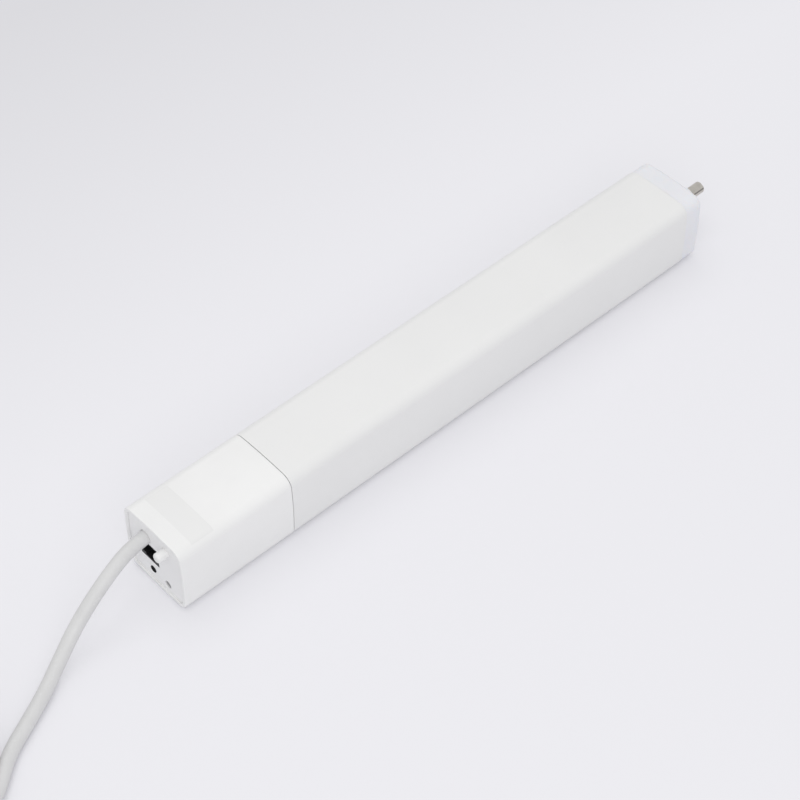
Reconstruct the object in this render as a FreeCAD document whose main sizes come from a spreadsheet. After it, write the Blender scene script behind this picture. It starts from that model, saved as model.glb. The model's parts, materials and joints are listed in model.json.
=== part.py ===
import FreeCAD, Part
import math
import os
import Sketcher
from types import SimpleNamespace

# A square tubular drive that turns a curtain track's belt, lying on a table.
# Stations run along +X from the near end, where the cord comes out, to the shaft.
# Across (+Y) and up (+Z) are measured from the drive's long axis.
# All lengths are millimetres and all angles degrees.

SIZES = {
    # square body
    "body_length": 319.2,
    "body_side": 39.4,
    "corner_radius": 5.5,
    "side_crown": 0.45,
    "cover_length": 60.4,
    "cover_wall": 2.7,
    "rim_wall": 2.0,
    "seam_gap": 0.3,
    "spigot_length": 8.0,
    "tube_wall": 1.4,
    "slip_gap": 0.2,
    "cap_length": 10.3,
    "cap_inset": 0.25,
    "cap_round": 1.6,
    "mouth_round": 0.5,
    "edge_round": 0.25,
    # end plate and what shows in it
    "plate_inset": 0.8,
    "plate_thickness": 2.4,
    "plate_gap": 0.1,
    "part_gap": 0.1,
    "cord_across": 6.2,
    "cord_up": 8.6,
    "cord_diameter": 6.5,
    "cord_hole_gap": 0.15,
    "socket_across": 4.7,
    "socket_up": -0.65,
    "jack_side_wall": 1.15,
    "jack_roof": 0.6,
    "jack_floor": 1.0,
    "jack_behind": 13.2,
    "port_width": 9.7,
    "port_height": 7.7,
    "port_depth": 13.0,
    "latch_width": 5.6,
    "latch_height": 1.4,
    "contact_pitch": 1.02,
    "contact_setback": 4.5,
    "contact_width": 0.45,
    "contact_thickness": 0.35,
    "button_across": -7.9,
    "button_up": 10.8,
    "button_radius": 2.4,
    "button_reach": 5.3,
    "button_travel": 0.8,
    "button_round": 1.2,
    "button_flange": 1.0,
    "touch_gap": 0.05,
    "flange_thickness": 1.2,
    "plunger_radius": 1.5,
    "reset_across": -6.45,
    "reset_up": -12.9,
    "reset_radius": 1.95,
    "reset_recess": 0.5,
    "reset_travel": 0.6,
    "lens_across": 3.4,
    "lens_up": -11.5,
    "lens_radius": 1.8,
    "lens_reach": 0.2,
    "lens_flange": 0.65,
    "light_pipe_radius": 1.4,
    "led_height": 1.5,
    "led_side": 2.0,
    "running_gap": 0.08,
    "switch_side": 6.0,
    "switch_depth": 4.0,
    "actuator_radius": 1.7,
    "actuator_reach": 0.6,
    # cord clamp and front board
    "clamp_length": 7.8,
    "clamp_width": 15.0,
    "clamp_height": 8.6,
    "clamp_screw_offset": 5.2,
    "clamp_screw_length": 9.2,
    "board_thickness": 1.6,
    "front_board_corner": 3.0,
    # tray and boards
    "tray_gap": 0.25,
    "tray_wall": 1.5,
    "tray_rise": 6.0,
    "tray_corner": 2.0,
    "tray_clear": 1.0,
    "post_height": 5.2,
    "post_radius": 2.2,
    "board_gap": 0.3,
    "hole_inset": 3.0,
    "board_setback": 6.9,
    "board_space": 4.0,
    "power_board_share": 0.36,
    "control_board_share": 0.245,
    "can_share": 0.33,
    "screw_radius": 1.25,
    "screw_head_radius": 2.2,
    "screw_head": 1.5,
    "screw_gap": 0.05,
    "screw_length": 6.0,
    "wire_radius": 0.9,
    "wire_spread": 1.9,
    "wire_straight": 2.4,
    "lead_across": 8.0,
    "lead_rise": 4.4,
    # parts on the power board
    "terminal_length": 10.0,
    "terminal_width": 14.0,
    "terminal_height": 10.0,
    "terminal_pitch": 3.5,
    "terminal_well": 2.0,
    "choke_across": 2.0,
    "choke_radius": 6.0,
    "choke_wire": 3.1,
    "capacitor_across": 7.0,
    "capacitor_radius": 6.3,
    "capacitor_height": 20.0,
    "core_side": 18.0,
    "core_height": 18.0,
    "core_depth": 7.0,
    "core_leg": 3.0,
    "core_centre": 5.0,
    "core_yoke": 3.5,
    "winding_build": 5.0,
    # parts on the control board
    "module_length": 20.0,
    "module_width": 14.0,
    "module_card": 0.8,
    "module_can": 2.2,
    "module_inset": 1.0,
    "module_antenna": 5.0,
    "chip_side": 6.5,
    "chip_across": 5.5,
    "chip_height": 1.5,
    # motor
    "motor_clear": 1.8,
    "can_wall": 1.2,
    "bell_thickness": 4.0,
    "bell_lip": 2.0,
    "brush_setback": 3.7,
    "brush_length": 3.5,
    "brush_width": 3.0,
    "brush_reach": 9.0,
    "brush_arm": 2.5,
    "magnet_thickness": 2.8,
    "magnet_longer": 12.0,
    "magnet_offset": 11.4,
    "magnet_sweep": 140.0,
    "air_gap": 0.4,
    "core_shorter": 35.2,
    "slot_width": 2.6,
    "slot_depth": 6.0,
    "winding_overhang": 6.0,
    "winding_inset": 0.6,
    "winding_inner": 3.5,
    "commutator_radius": 4.2,
    "commutator_length": 5.5,
    "commutator_slit": 0.5,
    "rotor_shaft_radius": 1.585,
    "bush_gap": 0.035,
    "bush_wall": 2.2,
    "bush_length": 4.0,
    "bush_hub": 2.4,
    "encoder_radius": 5.0,
    "encoder_length": 3.4,
    "encoder_clear": 1.1,
    "encoder_board_width": 12.0,
    "encoder_board_height": 28.0,
    "encoder_post": 2.0,
    "encoder_post_up": 11.0,
    "sensor_side": 3.0,
    "sensor_height": 1.0,
    "damper_length": 6.0,
    "damper_offset": 4.0,
    # gear train
    "ring_clear": 1.1,
    "ring_wall": 2.2,
    "tooth_play": 0.06,
    "adapter_thickness": 3.0,
    "first_width": 9.0,
    "second_width": 11.4,
    "stage_gap": 0.6,
    "carrier_rim": 2.4,
    "carrier_thickness": 3.0,
    "pin_radius": 1.2,
    "pin_gap": 0.05,
    "gear_cover_thickness": 5.0,
    "nose_radius": 9.6,
    "gear_cover_length": 23.0,
    "bearing_radius": 8.0,
    "bearing_width": 5.0,
    "bearing_ring": 1.15,
    "shaft_radius": 4.0,
    "neck_radius": 3.4,
    "neck_proud": 0.2,
    "tip_radius": 3.0,
    "tip_flat_depth": 0.76,
    "tip_flat_length": 9.5,
    "tip_flat_tilt": 26.0,
    "shaft_reach": 21.9,
    "tip_chamfer": 0.5,
    "collar_radius": 4.3,
    "collar_reach": 12.7,
    "collar_flange_radius": 8.8,
    "collar_flange": 3.0,
    "collar_gap": 0.05,
    "collar_pocket": 10.0,
    "cap_plug_length": 13.3,
    "cap_screw_length": 13.0,
    "cap_screw_offset": 12.0,
    "cap_screw_radius": 1.5,
    "cap_screw_head_radius": 2.75,
    "cap_screw_head": 3.0,
    # plug on the cord
    "plug_width": 35.3,
    "plug_height": 13.7,
    "plug_length": 33.0,
    "plug_back_width": 18.0,
    "plug_shoulder": 16.0,
    "plug_neck": 9.0,
    "plug_neck_radius": 5.2,
    "plug_pin_radius": 2.0,
    "plug_pin_length": 19.0,
    "plug_pin_spacing": 18.6,
    "plug_pin_round": 1.4,
    "plug_gap": 0.3,
    # coil put away
    "coil_radius": 46.6,
    "coil_pitch": 7.1,
    "coil_layer": 7.0,
    "coil_lift": 1.0,
    "coil_approach": 16.0,
    "cord_straight": 7.5,
    "tie_width": 7.0,
    "tie_thickness": 0.8,
    "tie_gap": 0.3,
    "tie_corner": 3.0,
}

# Counts, angles and the route of the cord
SUN_TEETH = 12
PLANET_TEETH = 18
RING_TEETH = SUN_TEETH + 2 * PLANET_TEETH
PRESSURE_ANGLE = math.radians(20)
ADDENDUM = 0.8
DEDENDUM = 1.0
FLANK_STEPS = 4
SLOTS = 5
BALLS = 8
CONTACTS = 6
CHIPS = [(0, -1, 1), (0, 1, 1), (1, -1, 1), (1, 1, 3)]
MAGNET_ANGLES = [0, 180]
PLANET_ANGLES = [0, 120, 240]
ARC_SHARE = 0.45
COIL_QUARTERS = 20
COIL_ENTRY = -59
COIL_CENTRE = (-151.0, -6.5)
TIE_ANGLE = -20
PLUG_PLACE = (-151.5, 23.5)
PLUG_HEADING = -21
# Where the cord's end climbs onto the coil: turn past the last quarter, radius beyond
# the coil's own, rise over the upper layer and slope
TAIL_STAGES = [(50, 0.4, 6.0, 0.1), (120, -0.1, 10.4, 0)]
LEAD_POINTS = [
    (-18.5, 4.9, 26.6),
    (-30.4, 2.4, 21.2),
    (-42.5, -0.2, 13.2),
    (-55.0, -4.8, 6.6),
    (-68.5, -11.8, 3.8),
    (-82.5, -19.4, 3.3),
    (-95.0, -26.4, 3.3),
]


class Size:
    """A size that knows its value and how the sheet works it out."""

    def __init__(self, value, text):
        self.value = value
        self.text = text

    def __add__(self, other):
        other = as_size(other)
        return Size(self.value + other.value, f"({self.text} + {other.text})")

    def __sub__(self, other):
        other = as_size(other)
        return Size(self.value - other.value, f"({self.text} - {other.text})")

    def __mul__(self, other):
        other = as_size(other)
        return Size(self.value * other.value, f"({self.text} * {other.text})")

    def __truediv__(self, other):
        other = as_size(other)
        return Size(self.value / other.value, f"({self.text} / {other.text})")

    def __radd__(self, other):
        return as_size(other) + self

    def __rsub__(self, other):
        return as_size(other) - self

    def __rmul__(self, other):
        return as_size(other) * self

    def __neg__(self):
        return self * -1

    def cos(self):
        return Size(math.cos(math.radians(self.value)), f"cos({self.text})")

    def sin(self):
        return Size(math.sin(math.radians(self.value)), f"sin({self.text})")


def as_size(item):
    """A plain number as a Size."""
    return item if isinstance(item, Size) else Size(float(item), f"({item:.9f})")


Vector = FreeCAD.Vector
doc = FreeCAD.newDocument("curtain_motor")
sheet = doc.addObject("Spreadsheet::Sheet", "sizes")
for row, (name, value) in enumerate(SIZES.items(), 1):
    sheet.set(f"A{row}", name)
    sheet.set(f"B{row}", str(value))
    sheet.setAlias(f"B{row}", name)
doc.recompute()
s = SimpleNamespace(**{name: Size(value, "sizes." + name) for name, value in SIZES.items()})

# Stations and fits that follow from the driving sizes
AXIS_UP = s.body_side / 2
X_MID = (s.body_length + s.shaft_reach + s.plate_inset - s.button_reach) / 2
PLATE_BACK = s.plate_inset + s.plate_thickness
BEHIND_PLATE = PLATE_BACK + s.part_gap
COVER_INNER = s.body_side - 2 * s.cover_wall
RIM_INNER = s.body_side - 2 * s.rim_wall
TUBE_INNER = s.body_side - 2 * s.tube_wall
INSERT_SIDE = TUBE_INNER - 2 * s.slip_gap
INSERT_RADIUS = s.corner_radius - s.tube_wall - s.slip_gap
MOTOR_RADIUS = TUBE_INNER / 2 - s.motor_clear
RING_RADIUS = TUBE_INNER / 2 - s.ring_clear
TOOTH_MODULE = (RING_RADIUS - s.ring_wall) / (RING_TEETH / 2 + DEDENDUM)
GEAR_CENTRES = TOOTH_MODULE * (SUN_TEETH + PLANET_TEETH) / 2
CARRIER_RADIUS = GEAR_CENTRES + s.pin_radius + s.carrier_rim
JACK_END = BEHIND_PLATE + s.jack_behind
FRONT_BOARD_BACK = JACK_END + s.board_thickness
JACK_HALF = s.port_width / 2 + s.jack_side_wall
JACK_LOW = s.socket_up - (s.jack_floor + s.latch_height + s.port_height + s.jack_roof) / 2
PORT_LOW = JACK_LOW + s.jack_floor + s.latch_height
PORT_TOP = PORT_LOW + s.port_height
JACK_TOP = PORT_TOP + s.jack_roof
CLAMP_LOW = JACK_TOP + s.part_gap
CLAMP_END = PLATE_BACK + s.clamp_length

TRAY_HALF = COVER_INNER / 2 - s.side_crown - s.tray_gap
TRAY_FLOOR = s.tray_wall - TRAY_HALF
BOARD_HALF = TRAY_HALF - s.tray_wall - s.board_gap
BOARD_LOW = TRAY_FLOOR + s.post_height
BOARD_TOP = BOARD_LOW + s.board_thickness

CAP_START = s.body_length - s.cap_length
FLANGE_END = CAP_START - s.cap_plug_length
FLANGE_START = FLANGE_END - s.bearing_width
GEAR_COVER_START = FLANGE_END - s.gear_cover_length
SECOND_DISC = GEAR_COVER_START - s.stage_gap - s.carrier_thickness
SECOND_START = SECOND_DISC - s.stage_gap - s.second_width
FIRST_DISC = SECOND_START - s.stage_gap - s.carrier_thickness
FIRST_START = FIRST_DISC - s.stage_gap - s.first_width
RING_START = FIRST_START - s.stage_gap
ADAPTER_START = RING_START - s.adapter_thickness
POWER_START = FRONT_BOARD_BACK + s.board_setback
REAR_STACK = s.bell_thickness + 2 * s.encoder_clear + s.encoder_length + s.sensor_height
SHARED_ROOM = ADAPTER_START - REAR_STACK - s.board_thickness - s.tray_clear - POWER_START
POWER_LENGTH = SHARED_ROOM * s.power_board_share
CONTROL_LENGTH = SHARED_ROOM * s.control_board_share
CAN_LENGTH = SHARED_ROOM * s.can_share
CAN_START = ADAPTER_START - CAN_LENGTH
BELL_START = CAN_START - s.bell_thickness
ENCODER_START = BELL_START - s.encoder_clear - s.encoder_length
SENSOR_FACE = ENCODER_START - s.encoder_clear
ENCODER_BOARD_END = SENSOR_FACE - s.sensor_height
TRAY_END = ENCODER_BOARD_END - s.board_thickness - s.tray_clear
BRUSH_END = s.brush_reach
CLAMP_HALF = s.clamp_width / 2

CONTROL_START = POWER_START + POWER_LENGTH + s.board_space
CHOKE_REACH = s.choke_radius + s.choke_wire
POWER_PARTS = s.terminal_length + 2 * CHOKE_REACH + 2 * s.capacitor_radius + s.core_side
POWER_SPACE = (POWER_LENGTH - POWER_PARTS) / 5
TERMINAL_START = POWER_START + POWER_SPACE
CHOKE_MIDDLE = TERMINAL_START + s.terminal_length + POWER_SPACE + CHOKE_REACH
CAPACITOR_MIDDLE = CHOKE_MIDDLE + CHOKE_REACH + POWER_SPACE + s.capacitor_radius
TRANSFORMER_MIDDLE = CAPACITOR_MIDDLE + s.capacitor_radius + POWER_SPACE + s.core_side / 2
CONTROL_SPACE = (CONTROL_LENGTH - s.module_length - 2 * s.chip_side) / 4
MODULE_START = CONTROL_START + CONTROL_SPACE
FIRST_CHIPS = MODULE_START + s.module_length + CONTROL_SPACE
CHIP_ROWS = [FIRST_CHIPS, FIRST_CHIPS + s.chip_side + CONTROL_SPACE]
LEADS_START = CHIP_ROWS[1] + s.chip_side + CONTROL_SPACE / 2

BUSH_RADIUS = s.rotor_shaft_radius + s.bush_gap + s.bush_wall
CAN_INNER = MOTOR_RADIUS - s.can_wall
MAGNET_INNER = CAN_INNER - s.magnet_thickness
CORE_RADIUS = MAGNET_INNER - s.air_gap
CORE_LENGTH = CAN_LENGTH - s.core_shorter
MAGNET_START = CAN_START + s.magnet_offset
CORE_START = MAGNET_START + s.magnet_longer / 2
COLLAR_SEAT = FLANGE_END + s.collar_pocket
SHAFT_TIP = s.body_length + s.shaft_reach
CAP_END_FROM_SEAT = s.body_length - COLLAR_SEAT
COIL_TOP = s.coil_lift + s.cord_diameter + s.coil_layer
PLUG_UP = COIL_TOP + s.plug_gap + s.plug_height / 2
DAMPER_STARTS = [
    CAN_START + s.damper_offset,
    ADAPTER_START - s.damper_offset - s.damper_length,
]

pieces = []


def place(item, x, y=0, z=0, turn=None):
    """Puts item at a station, across and up from the long axis."""
    item.Placement = FreeCAD.Placement(Vector(), turn or FreeCAD.Rotation())
    item.setExpression("Placement.Base.x", (x - X_MID).text)
    item.setExpression("Placement.Base.y", as_size(y).text)
    item.setExpression("Placement.Base.z", (z + AXIS_UP).text)
    return item


def keep(item, name):
    """Marks item as the sub-part called name."""
    item.Label = name
    pieces.append(item)
    return item


def new_body(name, x, y=0, z=0):
    body = doc.addObject("PartDesign::Body", name)
    place(body, x, y, z)
    return keep(body, name)


def sketch_on(body, role, start=0):
    """A sketch on one of the body's own planes, moved along its normal."""
    sketch = body.newObject("Sketcher::SketchObject", body.Name + "_sketch")
    plane = next(item for item in body.Origin.OriginFeatures if item.Role == role)
    sketch.AttachmentSupport = [(plane, "")]
    sketch.MapMode = "FlatFace"
    sketch.setExpression("AttachmentOffset.Base.z", as_size(start).text)
    return sketch


def bind(sketch, kind, *where, size):
    """One dimension of a sketch, driven by the sheet."""
    size = as_size(size)
    number = sketch.addConstraint(Sketcher.Constraint(kind, *where, size.value))
    if "sizes" in size.text:
        sketch.setExpression(f"Constraints[{number}]", size.text)


def arc_between(start, end, radius):
    """Arc from start to end, turning left where radius is positive and right where not."""
    chord = end - start
    left = Vector(-chord.y, chord.x, 0).normalize()
    reach = math.sqrt(radius * radius - chord.Length ** 2 / 4)
    side = 1 if radius > 0 else -1
    centre = (start + end) / 2 + left * reach * side
    circle = Part.Circle(centre, Vector(0, 0, 1), abs(radius))
    first, last = (start, end) if side > 0 else (end, start)
    angles = [math.atan2(p.y - centre.y, p.x - centre.x) for p in (first, last)]
    return Part.ArcOfCircle(circle, *angles)


def outline(sketch, corners):
    """Closed outline; a corner of three values is reached by an arc of that radius."""
    first = sketch.GeometryCount
    points = [Vector(as_size(c[0]).value, as_size(c[1]).value, 0) for c in corners]
    ends = []
    for number, corner in enumerate(corners):
        start, end = points[number - 1], points[number]
        if len(corner) == 2:
            sketch.addGeometry(Part.LineSegment(start, end), False)
            ends.append((1, 2))
        else:
            radius = as_size(corner[2])
            sketch.addGeometry(arc_between(start, end, radius.value), False)
            ends.append((1, 2) if radius.value > 0 else (2, 1))
            size = radius if radius.value > 0 else -radius
            bind(sketch, "Radius", first + number, size=size)
    for number, corner in enumerate(corners):
        here, after = first + number, first + (number + 1) % len(corners)
        tail, head = ends[number][1], ends[(number + 1) % len(corners)][0]
        sketch.addConstraint(Sketcher.Constraint("Coincident", here, tail, after, head))
        bind(sketch, "DistanceX", -1, 1, here, tail, size=corner[0])
        bind(sketch, "DistanceY", -1, 1, here, tail, size=corner[1])


def circle(sketch, across, up, radius):
    across, up, radius = as_size(across), as_size(up), as_size(radius)
    centre = Vector(across.value, up.value, 0)
    number = sketch.addGeometry(Part.Circle(centre, Vector(0, 0, 1), radius.value), False)
    bind(sketch, "Radius", number, size=radius)
    bind(sketch, "DistanceX", -1, 1, number, 3, size=across)
    bind(sketch, "DistanceY", -1, 1, number, 3, size=up)


def rectangle(low_x, high_x, low_y, high_y):
    return [(high_x, low_y), (high_x, high_y), (low_x, high_y), (low_x, low_y)]


def rounded_square(side, radius, crown):
    """Square with round corners and gently crowned sides, as eight tangent arcs."""
    half = side / 2
    middle = half - crown - radius
    drop = middle - half
    long_radius = (radius * radius - middle * middle - drop * drop) / (2 * drop + 2 * radius)
    share = long_radius / (long_radius - radius)
    near = middle * share
    far = half - long_radius + (drop + long_radius) * share
    return [
        (far, -near, radius),
        (far, near, long_radius),
        (near, far, radius),
        (-near, far, long_radius),
        (-far, near, radius),
        (-far, -near, long_radius),
        (-near, -far, radius),
        (near, -far, long_radius),
    ]


def draw(sketch, outlines, rounds):
    for corners in outlines:
        outline(sketch, corners)
    for item in rounds:
        circle(sketch, *item)


def pad(body, start, length, outlines=(), rounds=(), role="YZ_Plane"):
    """Adds a prism from start along the plane's normal."""
    sketch = sketch_on(body, role, start)
    draw(sketch, outlines, rounds)
    feature = body.newObject("PartDesign::Pad", body.Name + "_pad")
    feature.Profile = sketch
    feature.setExpression("Length", as_size(length).text)
    return feature


def pocket(body, start, length, outlines=(), rounds=(), role="YZ_Plane"):
    """Cuts a prism from start along the plane's normal, and checks that it cut."""
    sketch = sketch_on(body, role, start)
    draw(sketch, outlines, rounds)
    doc.recompute()
    before = body.Shape.Volume
    feature = body.newObject("PartDesign::Pocket", body.Name + "_pocket")
    feature.Profile = sketch
    feature.Reversed = True
    feature.setExpression("Length", as_size(length).text)
    doc.recompute()
    if body.Shape.Volume > before - 1e-6:
        raise ValueError(f"a pocket of {body.Name} cut nothing")
    return feature


def round_edges(body, radius, point, normal=Vector(1, 0, 0)):
    """Rounds a body's edges that lie in the plane through point."""
    doc.recompute()
    edges = [
        f"Edge{number}"
        for number, edge in enumerate(body.Shape.Edges, 1)
        if all(abs((vertex.Point - point).dot(normal)) < 1e-6 for vertex in edge.Vertexes)
    ]
    base = body.Tip
    feature = body.newObject("PartDesign::Fillet", body.Name + "_round")
    feature.Base = (base, edges)
    feature.setExpression("Radius", radius.text)
    doc.recompute()


def turned(name, x, profile, y=0, z=0):
    """A body turned about its own X axis from a profile of (along, radius)."""
    body = new_body(name, x, y, z)
    sketch = sketch_on(body, "XZ_Plane")
    outline(sketch, profile)
    feature = body.newObject("PartDesign::Revolution", name + "_turn")
    feature.Profile = sketch
    feature.ReferenceAxis = (sketch, ["H_Axis"])
    feature.Angle = 360
    return body


def steps(*stages):
    """Profile of a solid shaft from (length, radius) stages, from the near end on."""
    along = as_size(0)
    upper = []
    for length, radius in stages:
        upper.append((along, radius))
        along = along + length
        upper.append((along, radius))
    return [(0, 0), (along, 0)] + upper[::-1]


def tube_profile(length, inner, outer):
    return [(0, inner), (length, inner), (length, outer), (0, outer)]


def box(x, y, z, length, width, height):
    """A plain block whose low corner is at a station, across and up."""
    item = doc.addObject("Part::Box", "block")
    item.setExpression("Length", as_size(length).text)
    item.setExpression("Width", as_size(width).text)
    item.setExpression("Height", as_size(height).text)
    return place(item, x, y, z)


ALONG = FreeCAD.Rotation(Vector(0, 1, 0), 90)


def rod(x, y, z, radius, length, upright=False, start=0, sweep=360):
    """A round bar along X, or upright; start and sweep leave only a sector of it."""
    item = doc.addObject("Part::Cylinder", "rod")
    item.setExpression("Radius", as_size(radius).text)
    item.setExpression("Height", as_size(length).text)
    item.Angle = sweep
    sector = FreeCAD.Rotation(Vector(0, 0, 1), start)
    return place(item, x, y, z, sector if upright else ALONG.multiply(sector))


def joined(*items):
    item = doc.addObject("Part::MultiFuse", "joined")
    item.Shapes = list(items)
    return item


def cut(base, tool):
    item = doc.addObject("Part::Cut", "cut")
    item.Base = base
    item.Tool = tool
    return item


def group(name, items):
    item = doc.addObject("Part::Compound", name)
    item.Links = list(items)
    return keep(item, name)


def around(distance, angle):
    """Across and up at a distance from the axis, at an angle from +Y towards +Z."""
    turn = math.radians(angle)
    return distance * math.cos(turn), distance * math.sin(turn)


def at_station(station):
    return Vector((station - X_MID).value, 0, 0)


# Square housing

def housing():
    section = rounded_square(s.body_side, s.corner_radius, s.side_crown)
    bore = rounded_square(TUBE_INNER, s.corner_radius - s.tube_wall, s.side_crown)
    start, end = s.cover_length + s.seam_gap, CAP_START - s.part_gap
    tube = new_body("tube_housing", start)
    pad(tube, 0, end - start, [section, bore])
    for station in (start, end):
        round_edges(tube, s.edge_round, at_station(station))

    cover = new_body("front_cover", 0)
    insert = rounded_square(INSERT_SIDE, INSERT_RADIUS, s.side_crown)
    inner = rounded_square(COVER_INNER, s.corner_radius - s.cover_wall, s.side_crown)
    rim = rounded_square(RIM_INNER, s.corner_radius - s.rim_wall, s.side_crown)
    pad(cover, 0, s.cover_length, [section])
    round_edges(cover, s.mouth_round, at_station(as_size(0)))
    round_edges(cover, s.edge_round, at_station(s.cover_length))
    pad(cover, s.cover_length, s.spigot_length, [insert])
    pocket(cover, 0, s.cover_length + s.spigot_length, [inner])
    pocket(cover, 0, PLATE_BACK, [rim])


def end_plate():
    plate = new_body("end_plate", s.plate_inset)
    side = RIM_INNER - 2 * s.plate_gap
    radius = s.corner_radius - s.rim_wall - s.plate_gap
    pad(plate, 0, s.plate_thickness, [rounded_square(side, radius, s.side_crown)])
    half_width = JACK_HALF + s.part_gap
    socket = rectangle(
        s.socket_across - half_width,
        s.socket_across + half_width,
        JACK_LOW - s.part_gap,
        JACK_TOP + s.part_gap,
    )
    holes = [
        (s.cord_across, s.cord_up, s.cord_diameter / 2 + s.cord_hole_gap),
        (s.button_across, s.button_up, s.button_radius + s.running_gap),
        (s.reset_across, s.reset_up, s.reset_radius + s.running_gap),
        (s.lens_across, s.lens_up, s.lens_radius + s.running_gap),
    ]
    pocket(plate, 0, s.plate_thickness, [socket], holes)
    depth = s.clamp_screw_length - s.clamp_length
    screws = [(x, s.cord_up, s.screw_radius + s.screw_gap) for x in clamp_screw_places()]
    pocket(plate, s.plate_thickness - depth - s.screw_gap, depth + s.screw_gap, rounds=screws)


def drive_cap():
    cap = new_body("drive_cap", FLANGE_END)
    insert = rounded_square(INSERT_SIDE, INSERT_RADIUS, s.side_crown)
    side = s.body_side - 2 * s.cap_inset
    outer = rounded_square(side, s.corner_radius - s.cap_inset, s.side_crown)
    length = s.cap_plug_length + s.cap_length
    pad(cap, s.cap_plug_length, s.cap_length, [outer])
    round_edges(cap, s.cap_round, at_station(s.body_length))
    pad(cap, 0, s.cap_plug_length, [insert])
    pocket(cap, 0, s.collar_pocket, rounds=[(0, 0, s.collar_flange_radius + s.part_gap)])
    bore = s.collar_radius + s.part_gap
    pocket(cap, s.collar_pocket, length - s.collar_pocket, rounds=[(0, 0, bore)])
    depth = s.cap_screw_length - s.bearing_width + s.screw_gap
    pocket(cap, 0, depth, rounds=cap_screw_holes(s.cap_screw_radius + s.screw_gap))


def shaft_collar():
    bore = s.neck_radius + s.collar_gap
    end = CAP_END_FROM_SEAT + s.collar_reach
    turned(
        "shaft_collar",
        COLLAR_SEAT - s.collar_flange,
        [
            (0, bore),
            (s.collar_flange + end, bore),
            (s.collar_flange + end, s.collar_radius),
            (s.collar_flange, s.collar_radius),
            (s.collar_flange, s.collar_flange_radius),
            (0, s.collar_flange_radius),
        ],
    )


# What shows in the end plate

def data_socket():
    jack = new_body("data_socket", s.plate_inset)
    outer = rectangle(s.socket_across - JACK_HALF, s.socket_across + JACK_HALF, JACK_LOW, JACK_TOP)
    pad(jack, 0, JACK_END - s.plate_inset, [outer])
    half = s.port_width / 2
    left, right = s.socket_across - half, s.socket_across + half
    half = s.latch_width / 2
    opening = [
        (left, PORT_LOW),
        (s.socket_across - half, PORT_LOW),
        (s.socket_across - half, PORT_LOW - s.latch_height),
        (s.socket_across + half, PORT_LOW - s.latch_height),
        (s.socket_across + half, PORT_LOW),
        (right, PORT_LOW),
        (right, PORT_TOP),
        (left, PORT_TOP),
    ]
    pocket(jack, 0, s.port_depth, [opening])


def socket_contacts():
    start = s.plate_inset + s.contact_setback
    length = s.port_depth - s.contact_setback
    strips = []
    for number in range(CONTACTS):
        across = s.socket_across + (number - (CONTACTS - 1) / 2) * s.contact_pitch
        low = PORT_TOP - s.contact_thickness
        strips.append(
            box(start, across - s.contact_width / 2, low, length, s.contact_width, s.contact_thickness)
        )
    group("socket_contacts", strips)


def setting_button():
    tip = s.plate_inset - s.button_reach
    neck = BEHIND_PLATE - tip
    end = neck + s.flange_thickness
    plunger = JACK_END - s.switch_depth - s.actuator_reach - s.button_travel - s.touch_gap - tip
    flange = s.button_radius + s.button_flange
    turned(
        "setting_button",
        tip,
        [
            (0, 0),
            (plunger, 0),
            (plunger, s.plunger_radius),
            (end, s.plunger_radius),
            (end, flange),
            (neck, flange),
            (neck, s.button_radius),
            (s.button_round, s.button_radius),
            (0, s.button_radius - s.button_round, s.button_round),
        ],
        s.button_across,
        s.button_up,
    )


def reset_button():
    face = s.plate_inset + s.reset_recess
    plunger = JACK_END - s.switch_depth - s.actuator_reach - s.reset_travel - s.touch_gap - face
    neck = BEHIND_PLATE - face
    turned(
        "reset_button",
        face,
        steps(
            (neck, s.reset_radius),
            (s.flange_thickness, s.reset_radius + s.button_flange),
            (plunger - neck - s.flange_thickness, s.plunger_radius),
        ),
        s.reset_across,
        s.reset_up,
    )


def status_lens():
    face = s.plate_inset - s.lens_reach
    neck = BEHIND_PLATE - face
    pipe = JACK_END - s.led_height - s.part_gap - face - neck - s.flange_thickness
    turned(
        "status_lens",
        face,
        steps(
            (neck, s.lens_radius),
            (s.flange_thickness, s.lens_radius + s.lens_flange),
            (pipe, s.light_pipe_radius),
        ),
        s.lens_across,
        s.lens_up,
    )


def front_board():
    board = new_body("front_board", JACK_END)
    half, corner = TRAY_HALF, s.front_board_corner
    shape = [
        (half, corner - half),
        (half, half - corner),
        (half - corner, half),
        (corner - half, half),
        (-half, half - corner),
        (-half, corner - half),
        (corner - half, -half),
        (half - corner, -half),
    ]
    pad(board, 0, s.board_thickness, [shape])
    gap = CLAMP_HALF + s.part_gap
    wires = rectangle(s.cord_across - gap, half + corner, CLAMP_LOW + s.part_gap, half + corner)
    pocket(board, 0, s.board_thickness, [wires])
    led = s.led_side / 2
    chip = rectangle(
        s.lens_across - led, s.lens_across + led, s.lens_up - led, s.lens_up + led
    )
    pad(board, -s.led_height, s.led_height, [chip])


def tact_switches():
    switches = []
    for across, up in [(s.button_across, s.button_up), (s.reset_across, s.reset_up)]:
        start = JACK_END - s.switch_depth
        half = s.switch_side / 2
        case = box(start, across - half, up - half, s.switch_depth, s.switch_side, s.switch_side)
        reach = s.actuator_reach
        switches.append(joined(case, rod(start - reach, across, up, s.actuator_radius, reach)))
    group("tact_switches", switches)


# Cord clamp, tray and boards

def clamp_screw_places():
    return [s.cord_across - s.clamp_screw_offset, s.cord_across + s.clamp_screw_offset]


def cord_clamp():
    clamp = new_body("cord_clamp", PLATE_BACK)
    left, right = s.cord_across - CLAMP_HALF, s.cord_across + CLAMP_HALF
    block = rectangle(left, right, CLAMP_LOW, CLAMP_LOW + s.clamp_height)
    pad(clamp, 0, s.clamp_length, [block])
    holes = [(x, s.cord_up, s.screw_radius + s.screw_gap) for x in clamp_screw_places()]
    pocket(clamp, 0, s.clamp_length, rounds=holes)


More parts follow.
